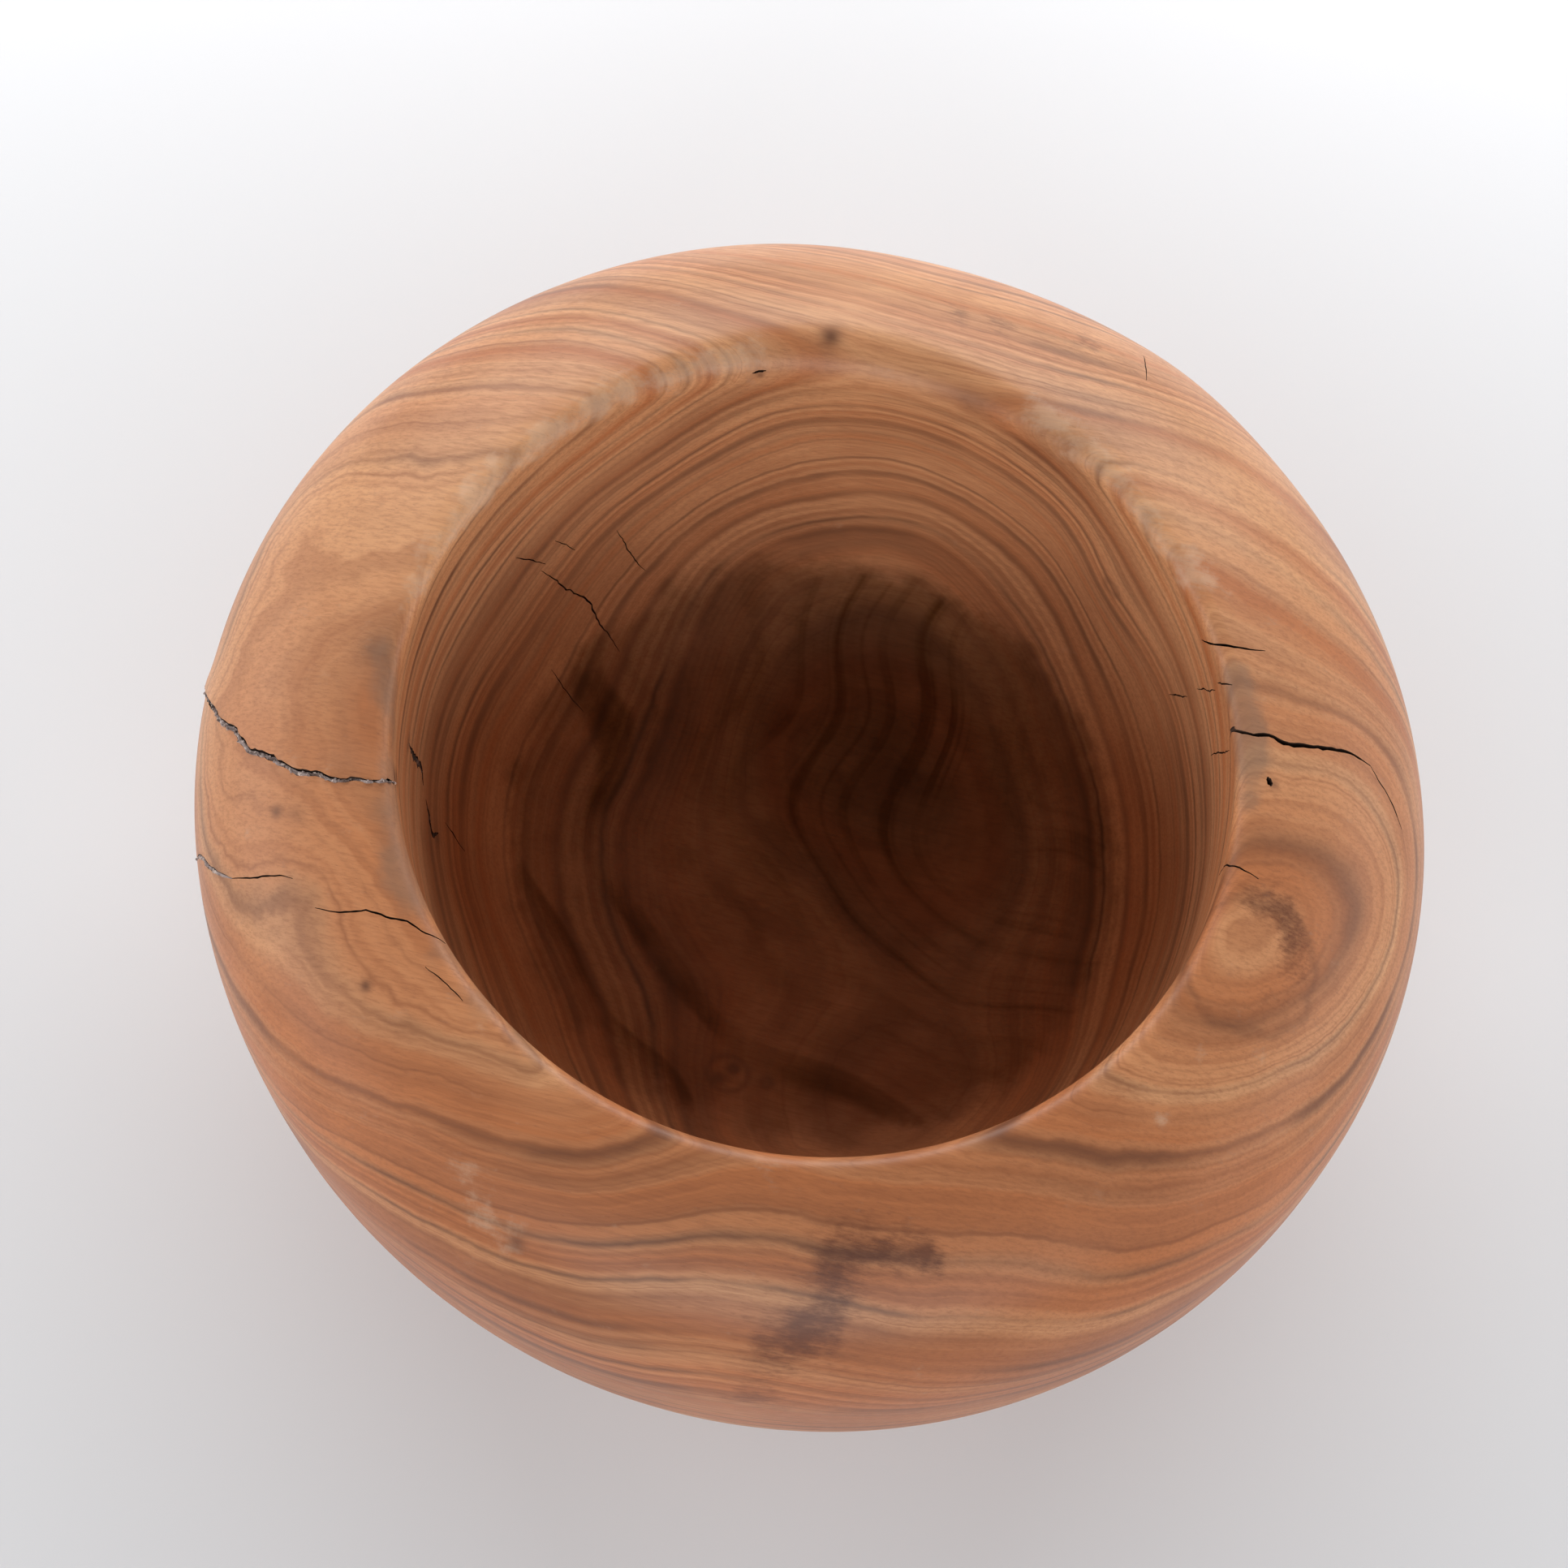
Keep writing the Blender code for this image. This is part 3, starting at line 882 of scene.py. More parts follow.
# Where the strong rings fade out: x, y, z, reach and share
CALM_PLACES = {
    "far_lip": (3.0, 56.0, 84.0, 16.0, 0.85),
    "far_left_lip": (-32.0, 50.0, 84.0, 14.0, 0.5),
    "far_right_lip": (50.0, 36.0, 84.0, 17.0, 0.8),
    "right_rim": (62.0, 12.0, 84.0, 14.0, 0.4),
}


def growth_rings_group():
    sizes = (("Fine Scale", "NodeSocketFloat", 0.45), ("Waver", "NodeSocketFloat", 0.7))
    tree, i, out = shader_group("growth_rings", PLACE_INPUT + sizes, ("Dark", "Fine", "Tone"))
    distance = use_group(tree, ring_distance, {"Place": i["Place"]})[0]
    slow = swing(tree, noise(tree, i["Place"], 0.07, 2.0), 1.0)
    quick = swing(tree, noise(tree, i["Place"], 0.32, 2.0), 0.35)
    waver = calc(tree, "MULTIPLY", calc(tree, "ADD", slow, quick), i["Waver"])
    wavy = calc(tree, "ADD", distance, waver)
    dark = 0.0
    for centre, width, strength in STRONG_RINGS:
        line = bell(tree, calc(tree, "SUBTRACT", wavy, centre), width)
        dark = calc(tree, "MULTIPLY_ADD", line, strength, dark)
    elsewhere = vec(tree, "ADD", i["Place"], FADE_START)
    fade = ramp(tree, noise(tree, elsewhere, 0.045, 2.0), 0.36, 0.62, 0.35, 1.0)
    quiet = 1.0
    for x, y, z, reach, share in CALM_PLACES.values():
        calm = bell(tree, vec(tree, "DISTANCE", i["Place"], (x, y, z), out="Value"), reach)
        quiet = calc(tree, "MULTIPLY", quiet, calc(tree, "MULTIPLY_ADD", calm, -share, 1.0))
    fade = calc(tree, "MULTIPLY", fade, quiet)
    dark = calc(tree, "MULTIPLY", dark, fade, use_clamp=True)
    thin = line_noise(tree, wavy, i["Fine Scale"], 4.0, 0.62)
    slope = calc(tree, "MULTIPLY", calc(tree, "ABSOLUTE", swing(tree, thin, 1.0)), RIDGE_SLOPE)
    ridges = calc(tree, "SUBTRACT", 1.0, slope)
    patches = ramp(tree, noise(tree, i["Place"], 0.06, 3.0), 0.36, 0.56, 0.15, 1.0)
    fine = calc(tree, "MULTIPLY", calc(tree, "MAXIMUM", ridges, 0.0), patches)
    band_distance = calc(tree, "ADD", wavy, BAND_START)
    bands = ramp(tree, line_noise(tree, band_distance, 0.75, 3.0, 0.6), 0.46, 0.72)
    fine = calc(tree, "ADD", calc(tree, "MULTIPLY", fine, 0.65), calc(tree, "MULTIPLY", bands, 0.6))
    fine = calc(tree, "MULTIPLY", fine, calc(tree, "MULTIPLY_ADD", quiet, 0.7, 0.3))
    tone = line_noise(tree, calc(tree, "ADD", wavy, TONE_START), 0.2, 4.0, 0.55)
    for socket, value in zip(out.inputs, (dark, fine, tone)):
        tree.links.new(value, socket)
    return tree


growth_rings = growth_rings_group()
print("strong rings:", len(STRONG_RINGS))

# %% Fibres and pores
FIBRE_STRETCH = 0.06
FIBRE_SCALE = 2.4
PORE_STRETCH = 0.16
PORE_SCALE = 4.6


def fibres_group():
    tree, i, out = shader_group("fibres", PLACE_INPUT, ("Streak", "Pore"))
    x, y, z = xyz(tree, i["Place"])
    side = calc(tree, "MULTIPLY_ADD", x, -PITH_YAW, y)
    height = calc(tree, "MULTIPLY_ADD", x, -PITH_PITCH, z)
    long_way = wire(tree, "ShaderNodeCombineXYZ", (calc(tree, "MULTIPLY", x, FIBRE_STRETCH), side, height))
    short_way = wire(tree, "ShaderNodeCombineXYZ", (calc(tree, "MULTIPLY", x, PORE_STRETCH), side, height))
    streak = noise(tree, long_way, FIBRE_SCALE, 5.0, 0.68)
    pore = ramp(tree, noise(tree, short_way, PORE_SCALE, 1.0), 0.66, 0.76)
    tree.links.new(streak, out.inputs[0])
    tree.links.new(pore, out.inputs[1])
    return tree


fibres = fibres_group()
print("fibre tree nodes:", len(fibres.nodes))

# %% [markdown]
# ## Marks of one bowl
#
# Two bowls from one tree still differ by their knots, stains and wear. Each mark here is a soft
# ball in the wood: a centre, a reach and a strength. A small knot is a dark spot, with or without
# a ring round it. The knot on the right rim is a faint ring with a dark crescent on one side. A
# stain is a sum of balls whose edge is broken up by noise, because it crept along the fibres.
# Grime and rubbed places lie on the skin, most of them along the lip, so they are given by an
# angle and a station, as the cracks are. The two runs of rubbed lip at the back also paint a
# highlight along the far edge.

# %% Knots, stains and grime
# Knots: a place, the radius of the ring round it (0 for a plain spot), its width and strength
KNOTS = {
    "right_rim_oval": ((55.5, -24.0, 85.7), 8.6, 0.7, 0.38),
    "left_rim_mark": ((-66.6, -12.2, 82.3), 0.0, 0.9, 0.8),
    "left_rim_shade": ((-63.8, -12.6, 83.4), 0.0, 1.5, 0.35),
    "floor_knot_left": ((-10.2, -26.8, 17.5), 1.1, 0.5, 0.9),
    "floor_knot_right": ((-8.2, -25.0, 17.0), 1.0, 0.45, 0.9),
    "floor_knot_halo": ((-9.0, -26.0, 17.0), 3.2, 0.5, 0.6),
    "floor_eye": ((-3.3, -26.6, 17.5), 0.9, 0.5, 0.6),
    "inner_wall_knot": ((38.3, 34.2, 61.9), 1.3, 0.7, 0.6),
    "left_front_spot": ((-52.8, -34.3, 84.1), 0.0, 0.8, 1.0),
    "pin_knot": ((57.6, -0.5, 86.4), 0.0, 0.7, 0.7),
    "far_smudge": ((-1.7, 56.9, 85.7), 0.0, 1.5, 1.1),
    "far_speck": ((-10.5, 51.8, 83.3), 0.0, 0.6, 0.8),
    "front_dash": ((-31.8, -63.8, 78.7), 0.0, 1.2, 0.8),
}
# The right rim knot has one dark side: its ring, then the place that is darkest
CRESCENT = ((54.4, -22.3, 86.2), 7.4, 2.1)
CRESCENT_DARK = ((60.5, -17.5, 84.6), 8.5, 1.0)
# Stains: x, y, z, reach and strength
STAINS = {
    "front_high": (12.5, -62.0, 84.0, 3.2, 1.0),
    "front_high_right": (17.5, -62.6, 83.5, 2.6, 1.1),
    "front_high_left": (7.5, -63.2, 83.8, 3.4, 0.75),
    "front_link": (7.5, -67.0, 82.0, 3.2, 0.6),
    "front_low": (5.0, -71.2, 79.0, 4.2, 1.0),
    "front_low_left": (0.5, -74.5, 76.5, 4.2, 0.75),
    "front_flank": (-1.5, -78.5, 66.5, 5.0, 0.65),
    "front_lip": (7.0, -58.5, 86.0, 2.0, 0.45),
    "back_dab": (15.7, 62.6, 83.3, 2.8, 0.6),
    "back_dab_inner": (20.5, 62.0, 83.0, 2.2, 0.55),
    "back_dab_right": (31.0, 60.8, 81.0, 3.0, 0.55),
    "back_dab_end": (37.6, 58.0, 80.6, 2.6, 0.5),
}


def on_skin(*rows):
    """Rows of angle, station, reach and strength, turned into rows of x, y, z, reach and strength."""
    return [(*[v / MM for v in on_bowl(*row[:2])], *row[2:]) for row in rows]


GRIME = on_skin(
    (171.0, 2.1, 3.0, 0.7), (176.2, -0.2, 3.0, 0.8), (181.0, -2.5, 3.0, 0.8), (187.5, -2.0, 3.0, 0.9),
    (193.3, -1.2, 3.4, 0.9), (200.7, -0.2, 3.8, 1.0), (205.4, -0.4, 3.6, 1.0), (214.6, -1.2, 3.6, 0.9),
    (223.0, -0.9, 3.6, 0.8), (231.0, -0.8, 3.4, 0.7), (240.0, -0.7, 3.2, 0.5),
    (15.0, 0.6, 2.4, 0.8), (11.2, 0.8, 2.8, 1.0), (6.3, 1.1, 3.0, 1.1), (2.0, 1.1, 2.8, 1.0),
    (-3.1, 0.8, 2.4, 0.8),
)
SMUDGES = on_skin(
    (187.4, -4.0, 1.2, 1.2), (186.3, -7.0, 1.1, 1.1), (176.8, -19.0, 1.1, 0.9), (182.8, -42.5, 1.0, 0.8)
)
# Two runs of rubbed lip with painted highlight, left and right at the back, then single rubs
RUB_STEP = 3
RUBS_AND_LIP_HIGHLIGHT = on_skin(
    *((angle, 0.4, 2.6, 0.62) for angle in range(102, 164, RUB_STEP)),
    *((angle, 0.9, 2.6, 0.62) for angle in range(28, 66, RUB_STEP)),
    (234.9, 18.0, 2.6, 0.8), (239.3, 21.5, 2.6, 0.8), (243.0, 20.5, 2.4, 0.7),
    (-31.0, 13.5, 1.6, 0.8), (-44.5, 9.5, 1.4, 0.8),
)


def balls(tree, place, rows):
    """The sum of soft balls at a place."""
    total = 0.0
    for x, y, z, reach, strength in rows:
        away = vec(tree, "DISTANCE", place, (x, y, z), out="Value")
        total = calc(tree, "MULTIPLY_ADD", bell(tree, away, reach), strength, total)
    return total


WARP_SCALE = 0.22
WARP_SIZE = (5.0, 5.0, 5.0)
LARGE_KNOT = 5.0


def marks_group():
    tree, i, out = shader_group("marks", PLACE_INPUT, ("Knot", "Stain", "Grime", "Rub And Highlight"))
    settings = {"Vector": i["Place"], "Scale": WARP_SCALE, "Detail": 2.0}
    warp = wire(tree, "ShaderNodeTexNoise", settings, out="Color")
    centred = vec(tree, "SUBTRACT", warp, (0.5, 0.5, 0.5))
    moved = vec(tree, "ADD", i["Place"], vec(tree, "MULTIPLY", centred, WARP_SIZE))
    knot = 0.0
    for centre, radius, width, strength in KNOTS.values():
        away = vec(tree, "DISTANCE", moved if radius > LARGE_KNOT else i["Place"], centre, out="Value")
        ring = bell(tree, calc(tree, "SUBTRACT", away, radius), width)
        knot = calc(tree, "MULTIPLY_ADD", ring, strength, knot)
    centre, radius, width = CRESCENT
    away = vec(tree, "DISTANCE", moved, centre, out="Value")
    ring = bell(tree, calc(tree, "SUBTRACT", away, radius), width)
    centre, reach, strength = CRESCENT_DARK
    dark_side = bell(tree, vec(tree, "DISTANCE", i["Place"], centre, out="Value"), reach)
    crescent = calc(tree, "MULTIPLY", calc(tree, "MULTIPLY", ring, dark_side), strength)
    knot = calc(tree, "ADD", knot, balls(tree, i["Place"], SMUDGES))
    grain = use_group(tree, fibres, {"Place": i["Place"]})["Streak"]
    broken = swing(tree, noise(tree, i["Place"], 0.3, 4.0, 0.6), 0.5)
    edge = calc(tree, "ADD", broken, swing(tree, grain, 0.5))
    spilt = calc(tree, "ADD", balls(tree, moved, STAINS.values()), crescent)
    stain = ramp(tree, calc(tree, "ADD", spilt, edge), 0.15, 1.25)
    dust = swing(tree, noise(tree, i["Place"], 0.35, 4.0, 0.65), 0.4)
    grime = ramp(tree, calc(tree, "ADD", balls(tree, i["Place"], GRIME), dust), 0.25, 1.0)
    patchy = swing(tree, noise(tree, i["Place"], 0.25, 4.0, 0.65), 1.3)
    # Rubs, and the painted highlight along the far lip
    rubbed = calc(tree, "ADD", calc(tree, "ADD", balls(tree, moved, RUBS_AND_LIP_HIGHLIGHT), patchy), swing(tree, grain, 0.6))
    rub_and_highlight = ramp(tree, rubbed, 0.3, 1.3)
    for socket, value in zip(out.inputs, (knot, stain, grime, rub_and_highlight)):
        tree.links.new(value, socket)
    return tree


marks = marks_group()
print("knots:", len(KNOTS), "stains:", len(STAINS), "grime spots:", len(GRIME))

# %% [markdown]
# ## The finish
#
# The bowl was sanded by hand and given a little oil. Pale sapwood orange is the ground, and each
# mark is mixed over it in turn, from the broad tones to the thin lines. The hollow's floor is
# darkened by painted shade up to an edge that is higher at the back, with swirling grain mixed
# into it, and the near outer flank gets a milder painted shade. The floor is duller too, with less
# coat. The rest keeps a satin sheen, with less of it where grime sits. The bump gives the fibres
# and pores a touch of relief.
#
# A colour multiplied over another darkens it and keeps the figure underneath, as the painted shade
# does. A plain mix covers it, as grime does.

# %% The wood material
PALE = (0.73, 0.365, 0.175, 1.0)
WARM = (0.56, 0.20, 0.075, 1.0)
BROWN = (0.30, 0.10, 0.04, 1.0)
DARK_LINE = (0.13, 0.05, 0.027, 1.0)
STAIN = (0.10, 0.025, 0.012, 1.0)
GREY = (0.23, 0.14, 0.092, 1.0)
# Pale of rubbed wood, also the painted highlight along the far lip
RUBBED_AND_HIGHLIGHT = (0.74, 0.50, 0.34, 1.0)
# Painted shade, multiplied over the hollow's floor
HOLLOW_SHADE = (0.20, 0.15, 0.06, 1.0)
SANDED = (0.72, 0.37, 0.19, 1.0)
# Painted shade, multiplied over the near outer flank
FRONT_PAINTED_SHADE = (0.75, 0.71, 0.68, 1.0)
# The hollow's painted shade: where it is darkest, where its edge lies and how far it reaches
DARKEST_PLACE = (10.0, 24.0, 18.0)
HOLLOW_REACH = 53.5
SWIRL_PLACE = (52.0, 34.0, 18.0)
SHADE_EDGE_HEIGHT = 27.4
SHADE_EDGE_RIGHT = 0.028
SHADE_EDGE_BACK = 0.16
SHADE_EDGE_RAGGED = 4.0
SHADE_REACH = 32.0
# Crack walls: nearly black painted shade of the narrow gap, with browner fibres.
CRACK_SHADE_DARK = (0.015, 0.008, 0.005, 1.0)
CRACK_SHADE_BROWN = (0.09, 0.04, 0.02, 1.0)


def mix(tree, amount, under, over, blend="MIX"):
    settings = {0: amount, 6: under, 7: over}
    return wire(tree, "ShaderNodeMix", settings, out=2, data_type="RGBA", blend_type=blend)


def object_place(tree):
    coordinates = wire(tree, "ShaderNodeTexCoord", out="Object")
    return wire(tree, "ShaderNodeVectorMath", {0: coordinates, "Scale": 1.0 / MM}, operation="SCALE")


def hollow_shade_part(tree, place, inside):
    """Painted shade over the hollow's floor, with swirling grain in it, up to an edge higher at the back."""
    x, y, z = xyz(tree, place)
    away = vec(tree, "DISTANCE", place, DARKEST_PLACE, out="Value")
    mottle = swing(tree, noise(tree, place, 0.12, 4.0, 0.6), 0.2)
    deep = calc(tree, "ADD", calc(tree, "MULTIPLY_ADD", bell(tree, away, SHADE_REACH), 0.44, 0.44), mottle)
    swirl = vec(tree, "DISTANCE", place, SWIRL_PLACE, out="Value")
    swirl = calc(tree, "ADD", swirl, swing(tree, noise(tree, place, 0.025, 1.0, 0.4), 20.0))
    grain = ramp(tree, line_noise(tree, swirl, 0.17, 3.0, 0.6), 0.45, 0.8)
    patches = ramp(tree, noise(tree, place, 0.05, 3.0), 0.36, 0.6, 0.2, 1.0)
    deep = calc(tree, "MULTIPLY_ADD", calc(tree, "MULTIPLY", grain, patches), 0.4, deep)
    shade_edge = calc(tree, "MULTIPLY_ADD", x, SHADE_EDGE_RIGHT, SHADE_EDGE_HEIGHT)
    shade_edge = calc(tree, "MULTIPLY_ADD", y, SHADE_EDGE_BACK, shade_edge)
    above = calc(tree, "SUBTRACT", z, shade_edge)
    above = calc(tree, "ADD", above, swing(tree, noise(tree, place, 0.15, 4.0, 0.6), SHADE_EDGE_RAGGED))
    return calc(tree, "MULTIPLY", calc(tree, "MULTIPLY", deep, inside), ramp(tree, above, 2.5, -2.5))


def inside_hollow(tree, place):
    from_axis = vec(tree, "LENGTH", vec(tree, "MULTIPLY", place, (1.0, 1.0, 0.0)), out="Value")
    return calc(tree, "LESS_THAN", from_axis, HOLLOW_REACH)


# How far each layer covers what lies under it
STREAK_SHARE = 0.38
FINE_SHARE = 0.6
STRONG_SHARE = 0.82
STRONG_MORE_INSIDE = 0.2
GRIME_SHARE = 0.55
RUB_HIGHLIGHT_SHARE = 0.46
KNOT_SHARE = 0.8
STAIN_SHARE = 0.78
PORE_SHARE = 0.16
SANDED_SHARE = 0.2
NEAR_FLANK_SHADE_SHARE = 0.7


def cover(tree, mask, share, under, over, blend="MIX"):
    """One layer: the mask, weakened to its share, mixes a colour over the one underneath."""
    return mix(tree, calc(tree, "MULTIPLY", mask, share, use_clamp=True), under, over, blend=blend)


def wood_colour(tree, place, rings, fibre, mark, inside, deep):
    """All layers, the wood's own in the order in which they came to it, then painted shade over the hollow's
    floor and the near outer flank.
    """
    _, y, z = xyz(tree, place)
    below = ramp(tree, z, 84.0, 62.0)
    near = ramp(tree, y, -70.0, 60.0, 0.9, 0.2)
    zones = swing(tree, noise(tree, place, 0.03, 2.0), 0.5)
    tones = swing(tree, rings["Tone"], 1.5)
    warmth = calc(tree, "ADD", calc(tree, "ADD", near, zones), tones, use_clamp=True)
    strong = calc(tree, "MULTIPLY_ADD", inside, STRONG_MORE_INSIDE, STRONG_SHARE)
    # Where the painted shade on the near outer flank sits, outside the hollow
    front = calc(tree, "MULTIPLY", ramp(tree, y, -40.0, -72.0), calc(tree, "SUBTRACT", 1.0, inside))
    colour = mix(tree, warmth, PALE, WARM)
    colour = cover(tree, ramp(tree, fibre["Streak"], 0.40, 0.70), STREAK_SHARE, colour, BROWN)
    colour = cover(tree, rings["Fine"], FINE_SHARE, colour, BROWN)
    colour = cover(tree, rings["Dark"], strong, colour, DARK_LINE)
    colour = cover(tree, mark["Grime"], GRIME_SHARE, colour, GREY)
    # Rubbed places, with the painted highlight along the far lip
    colour = cover(tree, mark["Rub And Highlight"], RUB_HIGHLIGHT_SHARE, colour, RUBBED_AND_HIGHLIGHT)
    colour = cover(tree, mark["Knot"], KNOT_SHARE, colour, DARK_LINE)
    colour = cover(tree, mark["Stain"], STAIN_SHARE, colour, STAIN)
    colour = cover(tree, fibre["Pore"], PORE_SHARE, colour, DARK_LINE)
    colour = cover(tree, calc(tree, "MULTIPLY", inside, below), SANDED_SHARE, colour, SANDED)
    # Painted shade over the hollow's floor, darkest towards the back
    colour = mix(tree, deep, colour, HOLLOW_SHADE, blend="MULTIPLY")
    # Painted shade on the near outer flank
    return cover(tree, front, NEAR_FLANK_SHADE_SHARE, colour, FRONT_PAINTED_SHADE, blend="MULTIPLY")


# The sheen: base roughness, what grime and the darkened hollow floor add to it, and how fibres vary it
ROUGHNESS = 0.44
GRIME_DULL = 0.12
HOLLOW_FLOOR_DULL = 0.3
STREAK_DULL = 0.08
COAT = 0.2
COAT_HOLLOW_FLOOR = -0.3
COAT_ROUGHNESS = 0.4
SPECULAR = 0.26
BUMP_STRENGTH = 0.25
BUMP_DEPTH = 0.08
PORE_DEPTH = 0.7
CRACK_WALL_ROUGHNESS = 0.9


def paint_wood(material):
    tree = material.node_tree
    shader = tree.nodes["Principled BSDF"]
    place = object_place(tree)
    rings = use_group(tree, growth_rings, {"Place": place})
    fibre = use_group(tree, fibres, {"Place": place})
    mark = use_group(tree, marks, {"Place": place})
    inside = inside_hollow(tree, place)
    deep = hollow_shade_part(tree, place, inside)
    colour = wood_colour(tree, place, rings, fibre, mark, inside, deep)
    tree.links.new(colour, shader.inputs["Base Color"])
    dull = calc(tree, "MULTIPLY_ADD", mark["Grime"], GRIME_DULL, ROUGHNESS)
    dull = calc(tree, "MULTIPLY_ADD", deep, HOLLOW_FLOOR_DULL, dull)
    rough = calc(tree, "ADD", dull, swing(tree, fibre["Streak"], STREAK_DULL))
    tree.links.new(rough, shader.inputs["Roughness"])
    shader.inputs["Specular IOR Level"].default_value = SPECULAR
    coat = calc(tree, "MULTIPLY_ADD", deep, COAT_HOLLOW_FLOOR, COAT, use_clamp=True)
    tree.links.new(coat, shader.inputs["Coat Weight"])
    shader.inputs["Coat Roughness"].default_value = COAT_ROUGHNESS
    relief = calc(tree, "SUBTRACT", fibre["Streak"], calc(tree, "MULTIPLY", fibre["Pore"], PORE_DEPTH))
    settings = {"Strength": BUMP_STRENGTH, "Distance": BUMP_DEPTH * MM, "Height": relief}
    bump = wire(tree, "ShaderNodeBump", settings, out="Normal")
    tree.links.new(bump, shader.inputs["Normal"])


def paint_crack_wall_shade(material):
    """Torn wood inside a crack, painted nearly black as the shade of the narrow gap, with browner fibres."""
    tree = material.node_tree
    shader = tree.nodes["Principled BSDF"]
    fibre = use_group(tree, fibres, {"Place": object_place(tree)})
    tree.links.new(mix(tree, fibre["Streak"], CRACK_SHADE_DARK, CRACK_SHADE_BROWN), shader.inputs["Base Color"])
    shader.inputs["Roughness"].default_value = CRACK_WALL_ROUGHNESS


paint_wood(wood)
paint_crack_wall_shade(crack_wall_shade)
print("wood material nodes:", len(wood.node_tree.nodes))

# %% [markdown]
# ## Handing over the bowl
#
# The bowl's mesh is finished. Its edges along the cracks stay sharp and the rest is shaded smooth.
# It is then tied to the frame: it rides on the root body and takes the place of the frame's bowl.

# %% Hand over the bowl
SHARP_ANGLE = 32.0
bowl.data.set_sharp_from_angle(angle=math.radians(SHARP_ANGLE))
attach(bowl, "root")
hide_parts("bowl_body")
print("bowl rides on root")

# %% [markdown]
# ## What stops the cracks
#
# Four lengths of crack on the left were stopped by hand. Two on the rim hold a grey mix of glue
# and sanding dust, pressed in and left lumpy. Two on the inner wall hold a darker one. Each is a
# bed that follows its own crack, and the same tree turns every bed into filler: it divides the
# bed, pushes its top in and out by noise, and sprinkles crumbs over it. Only the numbers differ.

# %% Filler beds
BED_TOP_POINTS = 7
BED_WIDTH = 0.78
BED_LEAN = 0.3
BED_CROWN = 0.2
BED_FOOT = (0.6, -0.6)


def filler_bed(name, rings, proud, depth):
    """A closed strip in a crack. It leans to one side, so a dark gap stays open on the other."""
    vertices = []
    faces = []
    tops = []
    for spot, side, normal, half in rings:
        for k in range(BED_TOP_POINTS):
            across = 2.0 * k / (BED_TOP_POINTS - 1) - 1.0
            rise = proud + BED_CROWN * half * (1.0 - across * across)
            vertices.append(spot + (side * (across * BED_WIDTH + BED_LEAN) * half + normal * rise) * MM)
            tops.append(1.0 - across ** 4)
        for across in BED_FOOT:
            vertices.append(spot + (side * (across * BED_WIDTH + BED_LEAN) * half - normal * depth) * MM)
            tops.append(0.0)
    count = BED_TOP_POINTS + 2
    faces.append(tuple(range(count)))
    for k in range(len(rings) - 1):
        for c in range(count):
            d = (c + 1) % count
            faces.append((count * k + c, count * k + d, count * (k + 1) + d, count * (k + 1) + c))
    faces.append(tuple(reversed(range(count * (len(rings) - 1), count * len(rings)))))
    mesh = bpy.data.meshes.new(name + "_bed")
    mesh.from_pydata(vertices, [], faces)
    mesh.attributes.new("top", "FLOAT", "POINT").data.foreach_set("value", tops)
    face_outwards(mesh)
    return mesh


print("stopped cracks:", list(FILLED_CRACKS))

# %% The filler tree
CRUMB_LOW = (0.5, 0.5, 0.4)
CRUMB_HIGH = (1.5, 1.2, 1.0)
FULL_TURN = (2 * math.pi, 2 * math.pi, 2 * math.pi)
LUMP_GAIN = 4.0


